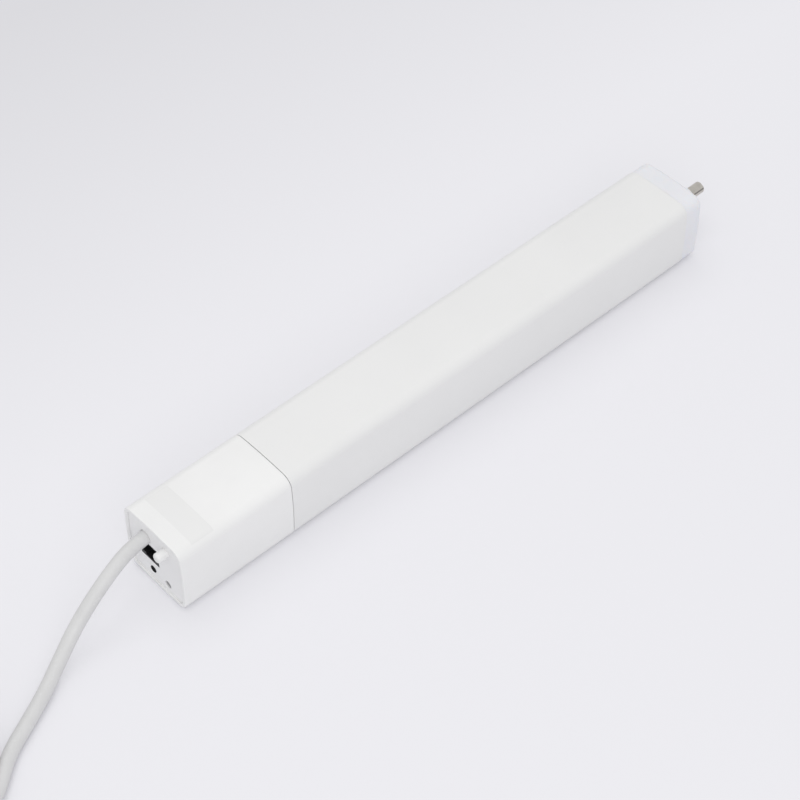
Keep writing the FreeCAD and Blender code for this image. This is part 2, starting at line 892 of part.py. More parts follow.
def board_holes(start, length):
    """Stations and places across of one board's four screws."""
    side = BOARD_HALF - s.hole_inset
    ends = (start + s.hole_inset, start + length - s.hole_inset)
    return [(x, y) for x in ends for y in (-side, side)]


def all_board_holes():
    return board_holes(POWER_START, POWER_LENGTH) + board_holes(CONTROL_START, CONTROL_LENGTH)


def chassis_tray():
    tray = new_body("chassis_tray", FRONT_BOARD_BACK)
    half, wall, corner = TRAY_HALF, s.tray_wall, s.tray_corner
    inside = half - wall
    bevel = corner - wall * (2 - math.sqrt(2))
    section = [
        (-half, corner - half),
        (corner - half, -half),
        (half - corner, -half),
        (half, corner - half),
        (half, s.tray_rise),
        (inside, s.tray_rise),
        (inside, bevel - inside),
        (inside - bevel, -inside),
        (bevel - inside, -inside),
        (-inside, bevel - inside),
        (-inside, s.tray_rise),
        (-half, s.tray_rise),
    ]
    pad(tray, 0, TRAY_END - FRONT_BOARD_BACK, [section])
    posts = [(x - FRONT_BOARD_BACK, y, s.post_radius) for x, y in all_board_holes()]
    pad(tray, TRAY_FLOOR, s.post_height, rounds=posts, role="XY_Plane")
    depth = s.screw_length - s.board_thickness + s.screw_gap
    holes = [(x, y, s.screw_radius + s.screw_gap) for x, y, _ in posts]
    pocket(tray, BOARD_LOW - depth, depth, rounds=holes, role="XY_Plane")


def circuit_board(name, start, length):
    board = new_body(name, start)
    sheet = rectangle(0, length, -BOARD_HALF, BOARD_HALF)
    pad(board, BOARD_LOW, s.board_thickness, [sheet], role="XY_Plane")
    radius = s.screw_radius + s.screw_gap
    holes = [(x - start, y, radius) for x, y in board_holes(start, length)]
    pocket(board, BOARD_LOW, s.board_thickness, rounds=holes, role="XY_Plane")


def small_screws():
    screws = []
    for across in clamp_screw_places():
        start = CLAMP_END - s.clamp_screw_length
        shank = rod(start, across, s.cord_up, s.screw_radius, s.clamp_screw_length)
        screws.append(joined(shank, rod(CLAMP_END, across, s.cord_up, s.screw_head_radius, s.screw_head)))
    for x, y in all_board_holes():
        shank = rod(x, y, BOARD_TOP - s.screw_length, s.screw_radius, s.screw_length, upright=True)
        head = rod(x, y, BOARD_TOP, s.screw_head_radius, s.screw_head, upright=True)
        screws.append(joined(shank, head))
    group("small_screws", screws)


def terminal_block():
    block = new_body("terminal_block", TERMINAL_START)
    half = s.terminal_width / 2
    pad(
        block,
        BOARD_TOP,
        s.terminal_height,
        [rectangle(0, s.terminal_length, -half, half)],
        role="XY_Plane",
    )
    wells = [(s.terminal_length / 2, y, s.terminal_well) for y in (-s.terminal_pitch, s.terminal_pitch)]
    top = BOARD_TOP + s.terminal_height
    pocket(block, top - s.terminal_well, s.terminal_well, rounds=wells, role="XY_Plane")


def power_parts():
    choke = doc.addObject("Part::Torus", "mains_choke")
    choke.setExpression("Radius1", s.choke_radius.text)
    choke.setExpression("Radius2", s.choke_wire.text)
    place(choke, CHOKE_MIDDLE, s.choke_across, BOARD_TOP + s.choke_wire)
    keep(choke, "mains_choke")
    cans = []
    for side in (-1, 1):
        across = s.capacitor_across * side
        size = (s.capacitor_radius, s.capacitor_height)
        cans.append(rod(CAPACITOR_MIDDLE, across, BOARD_TOP, *size, upright=True))
    group("bulk_capacitors", cans)


def transformer():
    outer, leg, centre_leg = s.core_side / 2, s.core_leg, s.core_centre / 2
    core = new_body("transformer_core", TRANSFORMER_MIDDLE, 0, BOARD_TOP)
    shape = rectangle(-outer, outer, 0, s.core_height)
    low, high = s.core_yoke, s.core_height - s.core_yoke
    windows = [
        rectangle(leg - outer, -centre_leg, low, high),
        rectangle(centre_leg, outer - leg, low, high),
    ]
    sketch = sketch_on(core, "XZ_Plane")
    draw(sketch, [shape] + windows, [])
    feature = core.newObject("PartDesign::Pad", "core_pad")
    feature.Profile = sketch
    feature.setExpression("Length", s.core_depth.text)
    feature.SideType = "Symmetric"

    gap = s.part_gap
    bobbin = new_body("transformer_winding", TRANSFORMER_MIDDLE, 0, BOARD_TOP)
    half_x, half_y = outer - leg - gap, s.core_depth / 2 + s.winding_build
    hole_x, hole_y = centre_leg + gap, s.core_depth / 2 + gap
    ring = [rectangle(-half_x, half_x, -half_y, half_y), rectangle(-hole_x, hole_x, -hole_y, hole_y)]
    pad(bobbin, low + gap, high - low - 2 * gap, ring, role="XY_Plane")


def control_parts():
    half, inset = s.module_width / 2, s.module_inset
    card = box(MODULE_START, -half, BOARD_TOP, s.module_length, s.module_width, s.module_card)
    can = box(
        MODULE_START + inset,
        inset - half,
        BOARD_TOP + s.module_card,
        s.module_length - s.module_antenna - inset,
        s.module_width - 2 * inset,
        s.module_can,
    )
    keep(joined(card, can), "radio_module")
    chips = []
    for row, side, height in CHIPS:
        across = s.chip_across * side - s.chip_side / 2
        size = (s.chip_side, s.chip_side, s.chip_height * height)
        chips.append(box(CHIP_ROWS[row], across, BOARD_TOP, *size))
    group("control_chips", chips)


# Motor

def motor_case():
    length, wall, outer = CAN_LENGTH, s.can_wall, MOTOR_RADIUS
    hub = BUSH_RADIUS + s.bush_hub
    inner_end = length - s.bush_length
    turned(
        "motor_can",
        CAN_START,
        [
            (length, BUSH_RADIUS),
            (length, outer),
            (0, outer),
            (0, outer - wall),
            (length - wall, outer - wall),
            (length - wall, hub),
            (inner_end, hub),
            (inner_end, BUSH_RADIUS),
        ],
    )
    magnets = []
    length, sweep = CORE_LENGTH + s.magnet_longer, s.magnet_sweep.value
    for angle in MAGNET_ANGLES:
        start = angle - sweep / 2
        sector = rod(MAGNET_START, 0, 0, CAN_INNER, length, start=start, sweep=sweep)
        magnets.append(cut(sector, rod(MAGNET_START, 0, 0, MAGNET_INNER, length)))
    group("motor_magnets", magnets)

    bell = turned("motor_end_bell", BELL_START, tube_profile(s.bell_thickness, BUSH_RADIUS, outer))
    lip = CAN_INNER - s.screw_gap
    pad(bell, s.bell_thickness, s.bell_lip, rounds=[(0, 0, lip), (0, 0, lip - s.bell_lip)])
    reach = BELL_START - ENCODER_BOARD_END
    posts = [(0, side * s.encoder_post_up, s.encoder_post) for side in (-1, 1)]
    for post in posts:
        pad(bell, -reach, reach, rounds=[post])
    half = s.brush_width / 2
    arm_low, arm_high = BRUSH_END, BRUSH_END + s.brush_arm
    for side in (-1, 1):
        edges = (arm_low, arm_high) if side > 0 else (-arm_high, -arm_low)
        arm = rectangle(*edges, -half, half)
        pad(bell, s.bell_thickness, s.brush_setback + s.brush_length, [arm])

    start = CAN_START + s.brush_setback
    brushes = []
    width = BRUSH_END - s.commutator_radius - s.screw_gap
    for low in (-BRUSH_END, s.commutator_radius + s.screw_gap):
        brushes.append(box(start, low, -half, s.brush_length, width, s.brush_width))
    group("motor_brushes", brushes)

    bushes = []
    bore = s.rotor_shaft_radius + s.bush_gap
    for x in (BELL_START, ADAPTER_START - s.bush_length):
        bushes.append(cut(rod(x, 0, 0, BUSH_RADIUS, s.bush_length), rod(x, 0, 0, bore, s.bush_length)))
    group("motor_bushes", bushes)


def rotor():
    shaft_end = FIRST_START + s.first_width
    shaft = rod(ENCODER_START, 0, 0, s.rotor_shaft_radius, shaft_end - ENCODER_START)
    keep(shaft, "rotor_shaft")

    core = new_body("armature_core", CORE_START)
    pad(core, 0, CORE_LENGTH, rounds=[(0, 0, CORE_RADIUS), (0, 0, s.rotor_shaft_radius)])
    half, low, high = s.slot_width / 2, CORE_RADIUS - s.slot_depth, CORE_RADIUS + s.air_gap
    for number in range(SLOTS):
        pocket(core, 0, CORE_LENGTH, [turned_strip(number * 360 / SLOTS, low, high, half)])

    winding = new_body("armature_winding", CORE_START)
    overhang, outer, gap = s.winding_overhang, CORE_RADIUS - s.winding_inset, s.part_gap
    ring = [(0, 0, outer), (0, 0, s.winding_inner)]
    pad(winding, -overhang, overhang, rounds=ring)
    for number in range(SLOTS):
        strip = turned_strip(number * 360 / SLOTS, low + gap, outer, half - gap)
        pad(winding, -overhang, CORE_LENGTH + overhang, [strip])
    pad(winding, CORE_LENGTH, overhang, rounds=ring)

    commutator = new_body("commutator", CAN_START + s.brush_setback - s.part_gap)
    ring = [(0, 0, s.commutator_radius), (0, 0, s.rotor_shaft_radius)]
    pad(commutator, 0, s.commutator_length, rounds=ring)
    slit, low = s.commutator_slit / 2, s.commutator_radius - s.commutator_slit * 2
    for number in range(SLOTS):
        angle = (number + 0.5) * 360 / SLOTS
        strip = turned_strip(angle, low, s.commutator_radius + s.commutator_slit, slit)
        pocket(commutator, 0, s.commutator_length, [strip])

    magnet = new_body("encoder_magnet", ENCODER_START)
    ring = [(0, 0, s.encoder_radius), (0, 0, s.rotor_shaft_radius)]
    pad(magnet, 0, s.encoder_length, rounds=ring)


def turned_strip(angle, low, high, half):
    """Rectangle from radius low to high and half either side, turned about the axis."""
    turn = math.radians(angle)
    along, aside = (math.cos(turn), math.sin(turn)), (-math.sin(turn), math.cos(turn))
    corners = []
    for reach, side in [(low, -half), (high, -half), (high, half), (low, half)]:
        corners.append((reach * along[0] + side * aside[0], reach * along[1] + side * aside[1]))
    return corners


def encoder_board():
    board = new_body("encoder_board", ENCODER_BOARD_END - s.board_thickness)
    half_width, half_height = s.encoder_board_width / 2, s.encoder_board_height / 2
    pad(board, 0, s.board_thickness, [rectangle(-half_width, half_width, -half_height, half_height)])
    half = s.sensor_side / 2
    pad(board, s.board_thickness, s.sensor_height, [rectangle(-half, half, -half, half)])


def motor_dampers():
    rings = []
    section = rounded_square(INSERT_SIDE, INSERT_RADIUS, s.side_crown)
    for number, x in enumerate(DAMPER_STARTS):
        body = doc.addObject("PartDesign::Body", f"damper_{number}")
        place(body, x)
        pad(body, 0, s.damper_length, [section], [(0, 0, MOTOR_RADIUS + s.screw_gap)])
        rings.append(body)
    group("motor_dampers", rings)


# Gear train

def involute(angle):
    return math.tan(angle) - angle


def gear_profile(teeth, inside=False):
    """Closed wire of involute teeth about the X axis, one tooth pointing along +Y."""
    module, play = TOOTH_MODULE.value, s.tooth_play.value
    pitch = module * teeth / 2
    base = pitch * math.cos(PRESSURE_ANGLE)
    tall, deep = ADDENDUM * module, DEDENDUM * module
    side = -1 if inside else 1
    inner, outer = (pitch - tall, pitch + deep) if inside else (pitch - deep, pitch + tall)
    mid = math.pi / (2 * teeth) - play / pitch + side * involute(PRESSURE_ANGLE)

    def half_angle(radius):
        return mid - side * involute(math.acos(min(1, base / radius)))

    low = max(inner, base)
    radii = [low + (outer - low) * step / FLANK_STEPS for step in range(FLANK_STEPS + 1)]
    edges = []
    last = None
    first = None
    for tooth in range(teeth):
        centre = 2 * math.pi * tooth / teeth
        rising = [(radius, centre - half_angle(radius)) for radius in radii]
        falling = [(radius, centre + half_angle(radius)) for radius in reversed(radii)]
        if inner < base:
            rising.insert(0, (inner, rising[0][1]))
            falling.append((inner, falling[-1][1]))
        if inside:
            rising, falling = falling[::-1], rising[::-1]
            rising = [(radius, angle - 2 * math.pi / teeth) for radius, angle in rising]
        for flank in (rising, falling):
            points = [Vector(0, radius * math.cos(a), radius * math.sin(a)) for radius, a in flank]
            if last is not None:
                edges.append(Part.LineSegment(last, points[0]).toShape())
            if first is None:
                first = points[0]
            if inner < base and not inside:
                corner = points[1] if flank is rising else points[-2]
                smooth = points[1:] if flank is rising else points[:-1]
                stem = (points[0], corner) if flank is rising else (corner, points[-1])
                parts = [curve_through(smooth), Part.LineSegment(*stem).toShape()]
                edges += parts[::-1] if flank is rising else parts
            else:
                edges.append(curve_through(points))
            last = points[-1]
    edges.append(Part.LineSegment(last, first).toShape())
    return Part.Wire(edges)


def curve_through(points):
    curve = Part.BSplineCurve()
    curve.interpolate(points)
    return curve.toShape()


def gear_prism(wire, width):
    return Part.Face(wire).extrude(Vector(width, 0, 0))


def round_bar(radius, start, length, across=0, up=0):
    return Part.makeCylinder(radius, length, Vector(start, across, up), Vector(1, 0, 0))


def shaped(name, shape, x, y=0, z=0):
    """A sub-part whose shape is worked out here from the sheet's sizes."""
    item = doc.addObject("Part::Feature", name)
    item.Shape = shape
    return keep(place(item, x, y, z), name)


def ring_gear():
    width = (GEAR_COVER_START - RING_START).value
    blank = round_bar(RING_RADIUS.value, 0, width)
    teeth = gear_prism(gear_profile(RING_TEETH, inside=True), width)
    shaped("ring_gear", blank.cut(teeth), RING_START)


def gearbox_adapter():
    hub = BUSH_RADIUS + s.running_gap
    turned("gearbox_adapter", ADAPTER_START, tube_profile(s.adapter_thickness, hub, RING_RADIUS))


def sun_and_planets():
    width = s.first_width.value
    sun = gear_prism(gear_profile(SUN_TEETH), width)
    bore = round_bar(s.rotor_shaft_radius.value, 0, width)
    shaped("sun_gear", sun.cut(bore), FIRST_START)
    half_tooth = 360 / PLANET_TEETH / 2
    stages = [("first", FIRST_START, s.first_width), ("second", SECOND_START, s.second_width)]
    for stage, start, width in stages:
        gear = gear_prism(gear_profile(PLANET_TEETH), width.value)
        gear.rotate(Vector(), Vector(1, 0, 0), half_tooth)
        gear = gear.cut(round_bar((s.pin_radius + s.pin_gap).value, 0, width.value))
        for number, angle in enumerate(PLANET_ANGLES, 1):
            y, z = around(GEAR_CENTRES, angle)
            shaped(f"{stage}_planet_{number}", gear, start, y, z)


def pin_places():
    return [around(GEAR_CENTRES, angle) for angle in PLANET_ANGLES]


def first_carrier():
    disc = rod(FIRST_DISC, 0, 0, CARRIER_RADIUS, s.carrier_thickness)
    reach = FIRST_DISC - FIRST_START
    pins = [rod(FIRST_START, y, z, s.pin_radius, reach) for y, z in pin_places()]
    sun = doc.addObject("Part::Feature", "second_sun")
    length = (SECOND_START + s.second_width - FIRST_DISC - s.carrier_thickness).value
    sun.Shape = gear_prism(gear_profile(SUN_TEETH), length)
    place(sun, FIRST_DISC + s.carrier_thickness)
    keep(joined(disc, sun, *pins), "first_carrier")


def output_shaft():
    shoulder = COLLAR_SEAT - s.collar_flange - s.stage_gap - SECOND_DISC
    total = SHAFT_TIP - SECOND_DISC
    neck = s.body_length + s.collar_reach + s.neck_proud - SECOND_DISC
    shaft = turned(
        "output_shaft",
        SECOND_DISC,
        [
            (0, 0),
            (total, 0),
            (total, s.tip_radius - s.tip_chamfer),
            (total - s.tip_chamfer, s.tip_radius),
            (neck, s.tip_radius),
            (neck, s.neck_radius),
            (shoulder, s.neck_radius),
            (shoulder, s.shaft_radius),
            (s.carrier_thickness, s.shaft_radius),
            (s.carrier_thickness, CARRIER_RADIUS),
            (0, CARRIER_RADIUS),
        ],
    )
    reach = SECOND_DISC - SECOND_START
    for y, z in pin_places():
        pad(shaft, -reach, reach, rounds=[(y, z, s.pin_radius)])
    across, up = -s.tip_flat_tilt.sin(), s.tip_flat_tilt.cos()
    near, past = s.tip_radius - s.tip_flat_depth, s.neck_radius + s.part_gap
    flat = []
    for reach, aside in [(near, -past), (past, -past), (past, past), (near, past)]:
        flat.append((reach * across - aside * up, reach * up + aside * across))
    pocket(shaft, total - s.tip_flat_length, s.tip_flat_length, [flat])


def cap_screw_holes(radius):
    side = s.cap_screw_offset
    return [(side * a, side * b, radius) for a in (-1, 1) for b in (-1, 1)]


def gearbox_cover():
    length, seat, disc = s.gear_cover_length, s.bearing_radius, s.gear_cover_thickness
    shoulder = seat - s.bearing_ring
    cover = turned(
        "gearbox_cover",
        GEAR_COVER_START,
        [
            (0, seat),
            (s.bearing_width, seat),
            (s.bearing_width, shoulder),
            (length - s.bearing_width, shoulder),
            (length - s.bearing_width, seat),
            (length, seat),
            (length, s.nose_radius),
            (disc, s.nose_radius),
            (disc, RING_RADIUS),
            (0, RING_RADIUS),
        ],
    )
    section = rounded_square(INSERT_SIDE, INSERT_RADIUS, s.side_crown)
    inner = (0, 0, (seat + s.nose_radius) / 2)
    holes = cap_screw_holes(s.cap_screw_radius + s.screw_gap)
    pad(cover, length - s.bearing_width, s.bearing_width, [section], [inner] + holes)


def gearbox_screws():
    screws = []
    for y, z, radius in cap_screw_holes(s.cap_screw_radius):
        shank = rod(FLANGE_START, y, z, radius, s.cap_screw_length)
        head_start = FLANGE_START - s.cap_screw_head
        head = rod(head_start, y, z, s.cap_screw_head_radius, s.cap_screw_head)
        screws.append(joined(shank, head))
    group("gearbox_screws", screws)


def shaft_bearings():
    outer, inner, balls = [], [], []
    track_out, track_in = s.bearing_radius - s.bearing_ring, s.shaft_radius + s.bearing_ring
    ball = (track_out - track_in) / 2 - s.screw_gap
    middle = (track_out + track_in) / 2
    for x in (GEAR_COVER_START, FLANGE_END - s.bearing_width):
        width = s.bearing_width
        outer.append(cut(rod(x, 0, 0, s.bearing_radius, width), rod(x, 0, 0, track_out, width)))
        inner.append(cut(rod(x, 0, 0, track_in, width), rod(x, 0, 0, s.shaft_radius, width)))
        for number in range(BALLS):
            y, z = around(middle, number * 360 / BALLS)
            item = doc.addObject("Part::Sphere", "ball")
            item.setExpression("Radius", ball.text)
            balls.append(place(item, x + width / 2, y, z))
    group("bearing_outer_rings", outer)
    group("bearing_inner_rings", inner)
    group("bearing_balls", balls)


# Wires, cord, coil and plug

def arc_edge(start, corner, end):
    """Arc that leaves start and reaches end along the two tangents that meet at corner."""
    middle = (start + end) / 2
    toward = corner - middle
    half = (end - start).Length / 2
    reach = (corner - start).Length
    rise = half * math.tan(math.acos(half / reach) / 2)
    return Part.Arc(start, middle + toward.normalize() * rise, end).toShape()


def rounded_route(points):
    """Straight runs joined by tangent arcs, with the radius of each arc."""
    points = [Vector(*point) for point in points]
    edges, radii = [], []
    last = points[0]
    for before, here, after in zip(points, points[1:], points[2:]):
        back, ahead = (here - before), (after - here)
        turn = back.getAngle(ahead)
        trim = ARC_SHARE * min(back.Length, ahead.Length)
        radii.append(round(trim / math.tan(turn / 2), 1))
        start = here - back.normalize() * trim
        end = here + ahead.normalize() * trim
        edges.append(Part.LineSegment(last, start).toShape())
        edges.append(arc_edge(start, here, end))
        last = end
    edges.append(Part.LineSegment(last, points[-1]).toShape())
    return Part.Wire(edges), radii


def tube_along(wire, radius):
    """Solid tube along a wire, from the direction of its first edge."""
    first = wire.Edges[0]
    start = first.valueAt(first.FirstParameter)
    direction = first.tangentAt(first.FirstParameter)
    ring = Part.Wire(Part.makeCircle(radius, start, direction))
    solid = wire.makePipeShell([ring], True, False)
    share = solid.Volume / (math.pi * radius ** 2 * wire.Length)
    if abs(share - 1) > 0.01:
        raise ValueError(f"a tube has {share:.3f} of its section times its length")
    return solid


def inner_wires(name, routes):
    solids = [tube_along(rounded_route(route)[0], s.wire_radius.value) for route in routes]
    shaped(name, Part.makeCompound(solids), as_size(0))


def supply_wires():
    start, end = CLAMP_END.value, TERMINAL_START.value
    across, up = s.cord_across.value, s.cord_up.value
    low = (BOARD_TOP + s.terminal_height / 2).value
    straight = (FRONT_BOARD_BACK + s.wire_straight).value
    routes = []
    for side in (-1, 1):
        y, target = across + side * s.wire_spread.value, side * s.terminal_pitch.value
        last = end - s.wire_straight.value
        routes.append([(start, y, up), (straight, y, up), (last, target, low), (end, target, low)])
    inner_wires("supply_wires", routes)


def motor_leads():
    start = LEADS_START.value
    low, high = BOARD_TOP.value, (BOARD_TOP + s.lead_rise).value
    end = BELL_START.value
    across = s.lead_across.value
    routes = [[(start, y, low), (start, y, high), (end, y, high)] for y in (-across, across)]
    inner_wires("motor_leads", routes)


def clockwise(angle):
    """Directions outward and clockwise at an angle round the coil."""
    turn = math.radians(angle)
    out = Vector(math.cos(turn), math.sin(turn), 0)
    return out, Vector(out.y, -out.x, 0)


def coil_stage(quarters):
    """Place and direction on the coil after some quarter turns."""
    middle = COIL_QUARTERS / 2
    inward = min(quarters, COIL_QUARTERS - quarters) / 4
    radius = s.coil_radius.value - s.coil_pitch.value * inward
    drift = -s.coil_pitch.value / (2 * math.pi) * (1 if quarters < middle else -1)
    if quarters == middle:
        drift = 0
    climb = min(1, max(0, (quarters - middle + 1) / 2))
    rise = s.coil_layer.value * (1 - math.cos(math.pi * climb)) / 2
    slope = s.coil_layer.value / 2 * math.sin(math.pi * climb)
    out, aside = clockwise(COIL_ENTRY - 90 * quarters)
    height = (s.coil_lift + s.cord_diameter / 2).value + rise
    place_now = Vector(*COIL_CENTRE, height) + out * radius
    direction = out * drift + aside * radius + Vector(0, 0, slope)
    return place_now, direction.normalize()


def biarc(start, leaving, end, arriving):
    """Two tangent arcs from one place and direction to another."""
    chord = end - start
    both = leaving + arriving
    a = 4 - both.dot(both)
    b = 2 * chord.dot(both)
    reach = (math.sqrt(b * b + 4 * a * chord.dot(chord)) - b) / (2 * a)
    first, second = start + leaving * reach, end - arriving * reach
    middle = (first + second) / 2
    return [arc_edge(start, first, middle), arc_edge(middle, second, end)]


def tail_stage(turn, outward, rise, slope):
    """Place and direction where the cord has climbed onto the coil."""
    out, aside = clockwise(COIL_ENTRY - 90 * COIL_QUARTERS - turn)
    height = (COIL_TOP - s.cord_diameter / 2).value + rise
    place_now = Vector(*COIL_CENTRE, height) + out * (s.coil_radius.value + outward)
    return place_now, (aside + Vector(0, 0, slope)).normalize()


def plug_entry():
    """Where the cord meets the plug, and the direction that the plug points."""
    angle = math.radians(PLUG_HEADING)
    heading = Vector(math.cos(angle), math.sin(angle), 0)
    return Vector(*PLUG_PLACE, PLUG_UP.value), heading


def coil_wire():
    end = s.cord_diameter.value
    start, leaving = coil_stage(0)
    edges = [Part.LineSegment(start - leaving * end, start).toShape()]
    entry, heading = plug_entry()
    stages = [coil_stage(quarter) for quarter in range(1, COIL_QUARTERS + 1)]
    stages += [tail_stage(*stage) for stage in TAIL_STAGES]
    for place_now, direction in stages + [(entry - heading * end, heading)]:
        edges += biarc(start, leaving, place_now, direction)
        start, leaving = place_now, direction
    edges.append(Part.LineSegment(start, entry).toShape())
    return Part.Wire(edges)


def least_gap(wire, diameter):
    """Least gap between stretches of one tube that lie over three diameters apart along it."""
    points = wire.discretize(Number=1600)
    step = wire.Length / (len(points) - 1)
    skip = int(3 * diameter / step)
    nearest = min(
        (points[i] - points[j]).Length
        for i in range(0, len(points), 2)
        for j in range(i + skip, len(points), 2)
    )
    return nearest - diameter


def cord():
    radius = s.cord_diameter.value / 2
    up = (AXIS_UP + s.cord_up).value
    across = s.cord_across.value
    start, leaving = coil_stage(0)
    join = start - leaving * s.cord_diameter.value
    approach = join - leaving * s.coil_approach.value
    points = [(PLATE_BACK.value, across, up), (-s.cord_straight.value, across, up)]
    points += LEAD_POINTS + [tuple(approach), tuple(join)]
    lead, radii = rounded_route(points)
    print("cord radii", radii)
    shaped("cord_lead", tube_along(lead, radius), as_size(0), 0, -AXIS_UP)
    coil = coil_wire()
    print("coil least gap", round(least_gap(coil, s.cord_diameter.value), 3))
    shaped("cord_coil", tube_along(coil, radius), as_size(0), 0, -AXIS_UP)
    print("cord length", round(lead.Length + coil.Length, 1), "lead", round(lead.Length, 1))


def cord_tie():
    across, up = COIL_CENTRE[1], s.tie_thickness - AXIS_UP
    tie = new_body("cord_tie", as_size(COIL_CENTRE[0]), across, up)
    tie.Placement.Rotation = FreeCAD.Rotation(Vector(0, 0, 1), TIE_ANGLE)
    half, gap = s.cord_diameter / 2, s.tie_gap
    low = s.coil_radius - s.coil_pitch * COIL_QUARTERS / 8 - half - gap
    high = s.coil_radius + half + gap
    top = COIL_TOP + gap - s.tie_thickness
    sketch = sketch_on(tie, "XZ_Plane")
    wall = s.tie_thickness
    for grow, corner in ((0, s.tie_corner), (wall, s.tie_corner + wall)):
        outline(sketch, rounded_rectangle(low - grow, high + grow, -grow, top + grow, corner))
    feature = tie.newObject("PartDesign::Pad", "tie_pad")
    feature.Profile = sketch
    feature.SideType = "Symmetric"
    feature.setExpression("Length", s.tie_width.text)


def rounded_rectangle(low_x, high_x, low_y, high_y, radius):
    return [
        (high_x, low_y + radius, radius),
        (high_x, high_y - radius),
        (high_x - radius, high_y, radius),
        (low_x + radius, high_y),
        (low_x, high_y - radius, radius),
        (low_x, low_y + radius),
        (low_x + radius, low_y, radius),
        (high_x - radius, low_y),
    ]


def plug():
    entry, heading = plug_entry()
    turn = FreeCAD.Rotation(Vector(0, 0, 1), PLUG_HEADING)
    up = PLUG_UP - AXIS_UP
    neck = steps((s.plug_neck, s.plug_neck_radius))
    body = turned("plug_body", as_size(entry.x), neck, entry.y, up)
    body.Placement.Rotation = turn
    half, back = s.plug_width / 2, s.plug_back_width / 2
    start, end = s.plug_neck, s.plug_neck + s.plug_length
    shape = [
        (start, -back),
        (start + s.plug_shoulder, -half),
        (end, -half),
        (end, half),
        (start + s.plug_shoulder, half),
        (start, back),
    ]
    pad(body, -s.plug_height / 2, s.plug_height, [shape], role="XY_Plane")
    pins = new_body("plug_pins", as_size(entry.x), entry.y, up)
    pins.AllowCompound = True
    pins.Placement.Rotation = turn
    places = [(side * s.plug_pin_spacing / 2, 0, s.plug_pin_radius) for side in (-1, 1)]
    pad(pins, end, s.plug_pin_length, rounds=places)
    tip = entry - Vector(X_MID.value, 0, 0) + heading * (end + s.plug_pin_length).value
    round_edges(pins, s.plug_pin_round, tip, heading)


def build():
    housing()
    end_plate()
    drive_cap()
    shaft_collar()
    data_socket()
    socket_contacts()
    setting_button()
    reset_button()
    status_lens()
    front_board()
    tact_switches()
    cord_clamp()
    chassis_tray()
    circuit_board("power_board", POWER_START, POWER_LENGTH)
    circuit_board("control_board", CONTROL_START, CONTROL_LENGTH)
    small_screws()
    terminal_block()
    power_parts()
    transformer()
    control_parts()
    supply_wires()
    motor_leads()
    encoder_board()
    motor_case()
    motor_dampers()
    rotor()
    ring_gear()
    gearbox_adapter()
    sun_and_planets()
    first_carrier()
    output_shaft()
    gearbox_cover()
    gearbox_screws()
    shaft_bearings()
    cord()
    cord_tie()
    plug()


def check_and_write():
    doc.recompute()
    for item in doc.Objects:
        if "Invalid" in item.State or "Error" in item.State:
            raise ValueError(f"{item.Name} did not build")
    os.makedirs("parts", exist_ok=True)
    for item in pieces:
        shape = item.Shape
        if shape.isNull() or not shape.isValid() or not shape.Solids:
            raise ValueError(f"{item.Label} is not a valid solid")
        shape.exportStep(f"parts/{item.Label}.step")
    print(len(pieces), "sub-parts")


build()
check_and_write()
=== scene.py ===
"""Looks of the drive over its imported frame: finishes, cord, plug, floor, light and camera."""
import json
import math

import bmesh
import bpy
from mathutils import Matrix, Vector


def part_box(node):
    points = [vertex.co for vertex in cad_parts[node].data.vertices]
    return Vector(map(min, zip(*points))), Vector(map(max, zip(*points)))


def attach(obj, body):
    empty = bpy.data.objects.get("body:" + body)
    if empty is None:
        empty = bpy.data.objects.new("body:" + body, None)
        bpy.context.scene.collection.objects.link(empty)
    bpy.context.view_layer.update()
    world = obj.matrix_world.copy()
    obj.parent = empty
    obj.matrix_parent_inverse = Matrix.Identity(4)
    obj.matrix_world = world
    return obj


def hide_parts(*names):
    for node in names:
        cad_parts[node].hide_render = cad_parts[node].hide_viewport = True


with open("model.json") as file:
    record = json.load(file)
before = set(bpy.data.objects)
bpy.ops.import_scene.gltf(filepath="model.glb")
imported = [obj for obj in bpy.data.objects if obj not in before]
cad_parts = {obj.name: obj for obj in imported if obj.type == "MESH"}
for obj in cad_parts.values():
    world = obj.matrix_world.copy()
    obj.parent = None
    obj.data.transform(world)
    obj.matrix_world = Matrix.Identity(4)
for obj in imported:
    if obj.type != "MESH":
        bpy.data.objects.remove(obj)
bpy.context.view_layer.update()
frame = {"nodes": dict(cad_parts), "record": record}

NEAR_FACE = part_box("front_cover")[0].x
HOUSING = "housing"

# Camera of the photograph, fitted to the printed length and section, measured from the near face
CAMERA_PLACE = (-0.28761, -0.474, 0.7387)
CAMERA_TURN = (41.3755, 0.1697, -42.274)
CAMERA_LENS = 95.53
SENSOR = 36.0
CAMERA_CLIP = (0.01, 50)

# Route of the cord in metres, from the near face along X, then across and up
CORD_DIAMETER = 0.0065
PLATE_BACK = 0.0032
CORD_ACROSS = 0.0062
CORD_UP = 0.0283
CORD_STRAIGHT = (-0.0075, 0.0058, 0.0278)
LEAD_POINTS = [
    (-0.0188, 0.0032, 0.0260),
    (-0.0311, 0.0009, 0.0206),
    (-0.0436, -0.0015, 0.0130),
    (-0.0565, -0.0066, 0.0066),
    (-0.0700, -0.0139, 0.0038),
    (-0.0840, -0.0209, 0.0033),
    (-0.0984, -0.0280, 0.0033),
]
# Steps between two points of the route, and how finely the cord's round is divided
ROUTE_STEPS, ROUND_STEPS = 8, 8

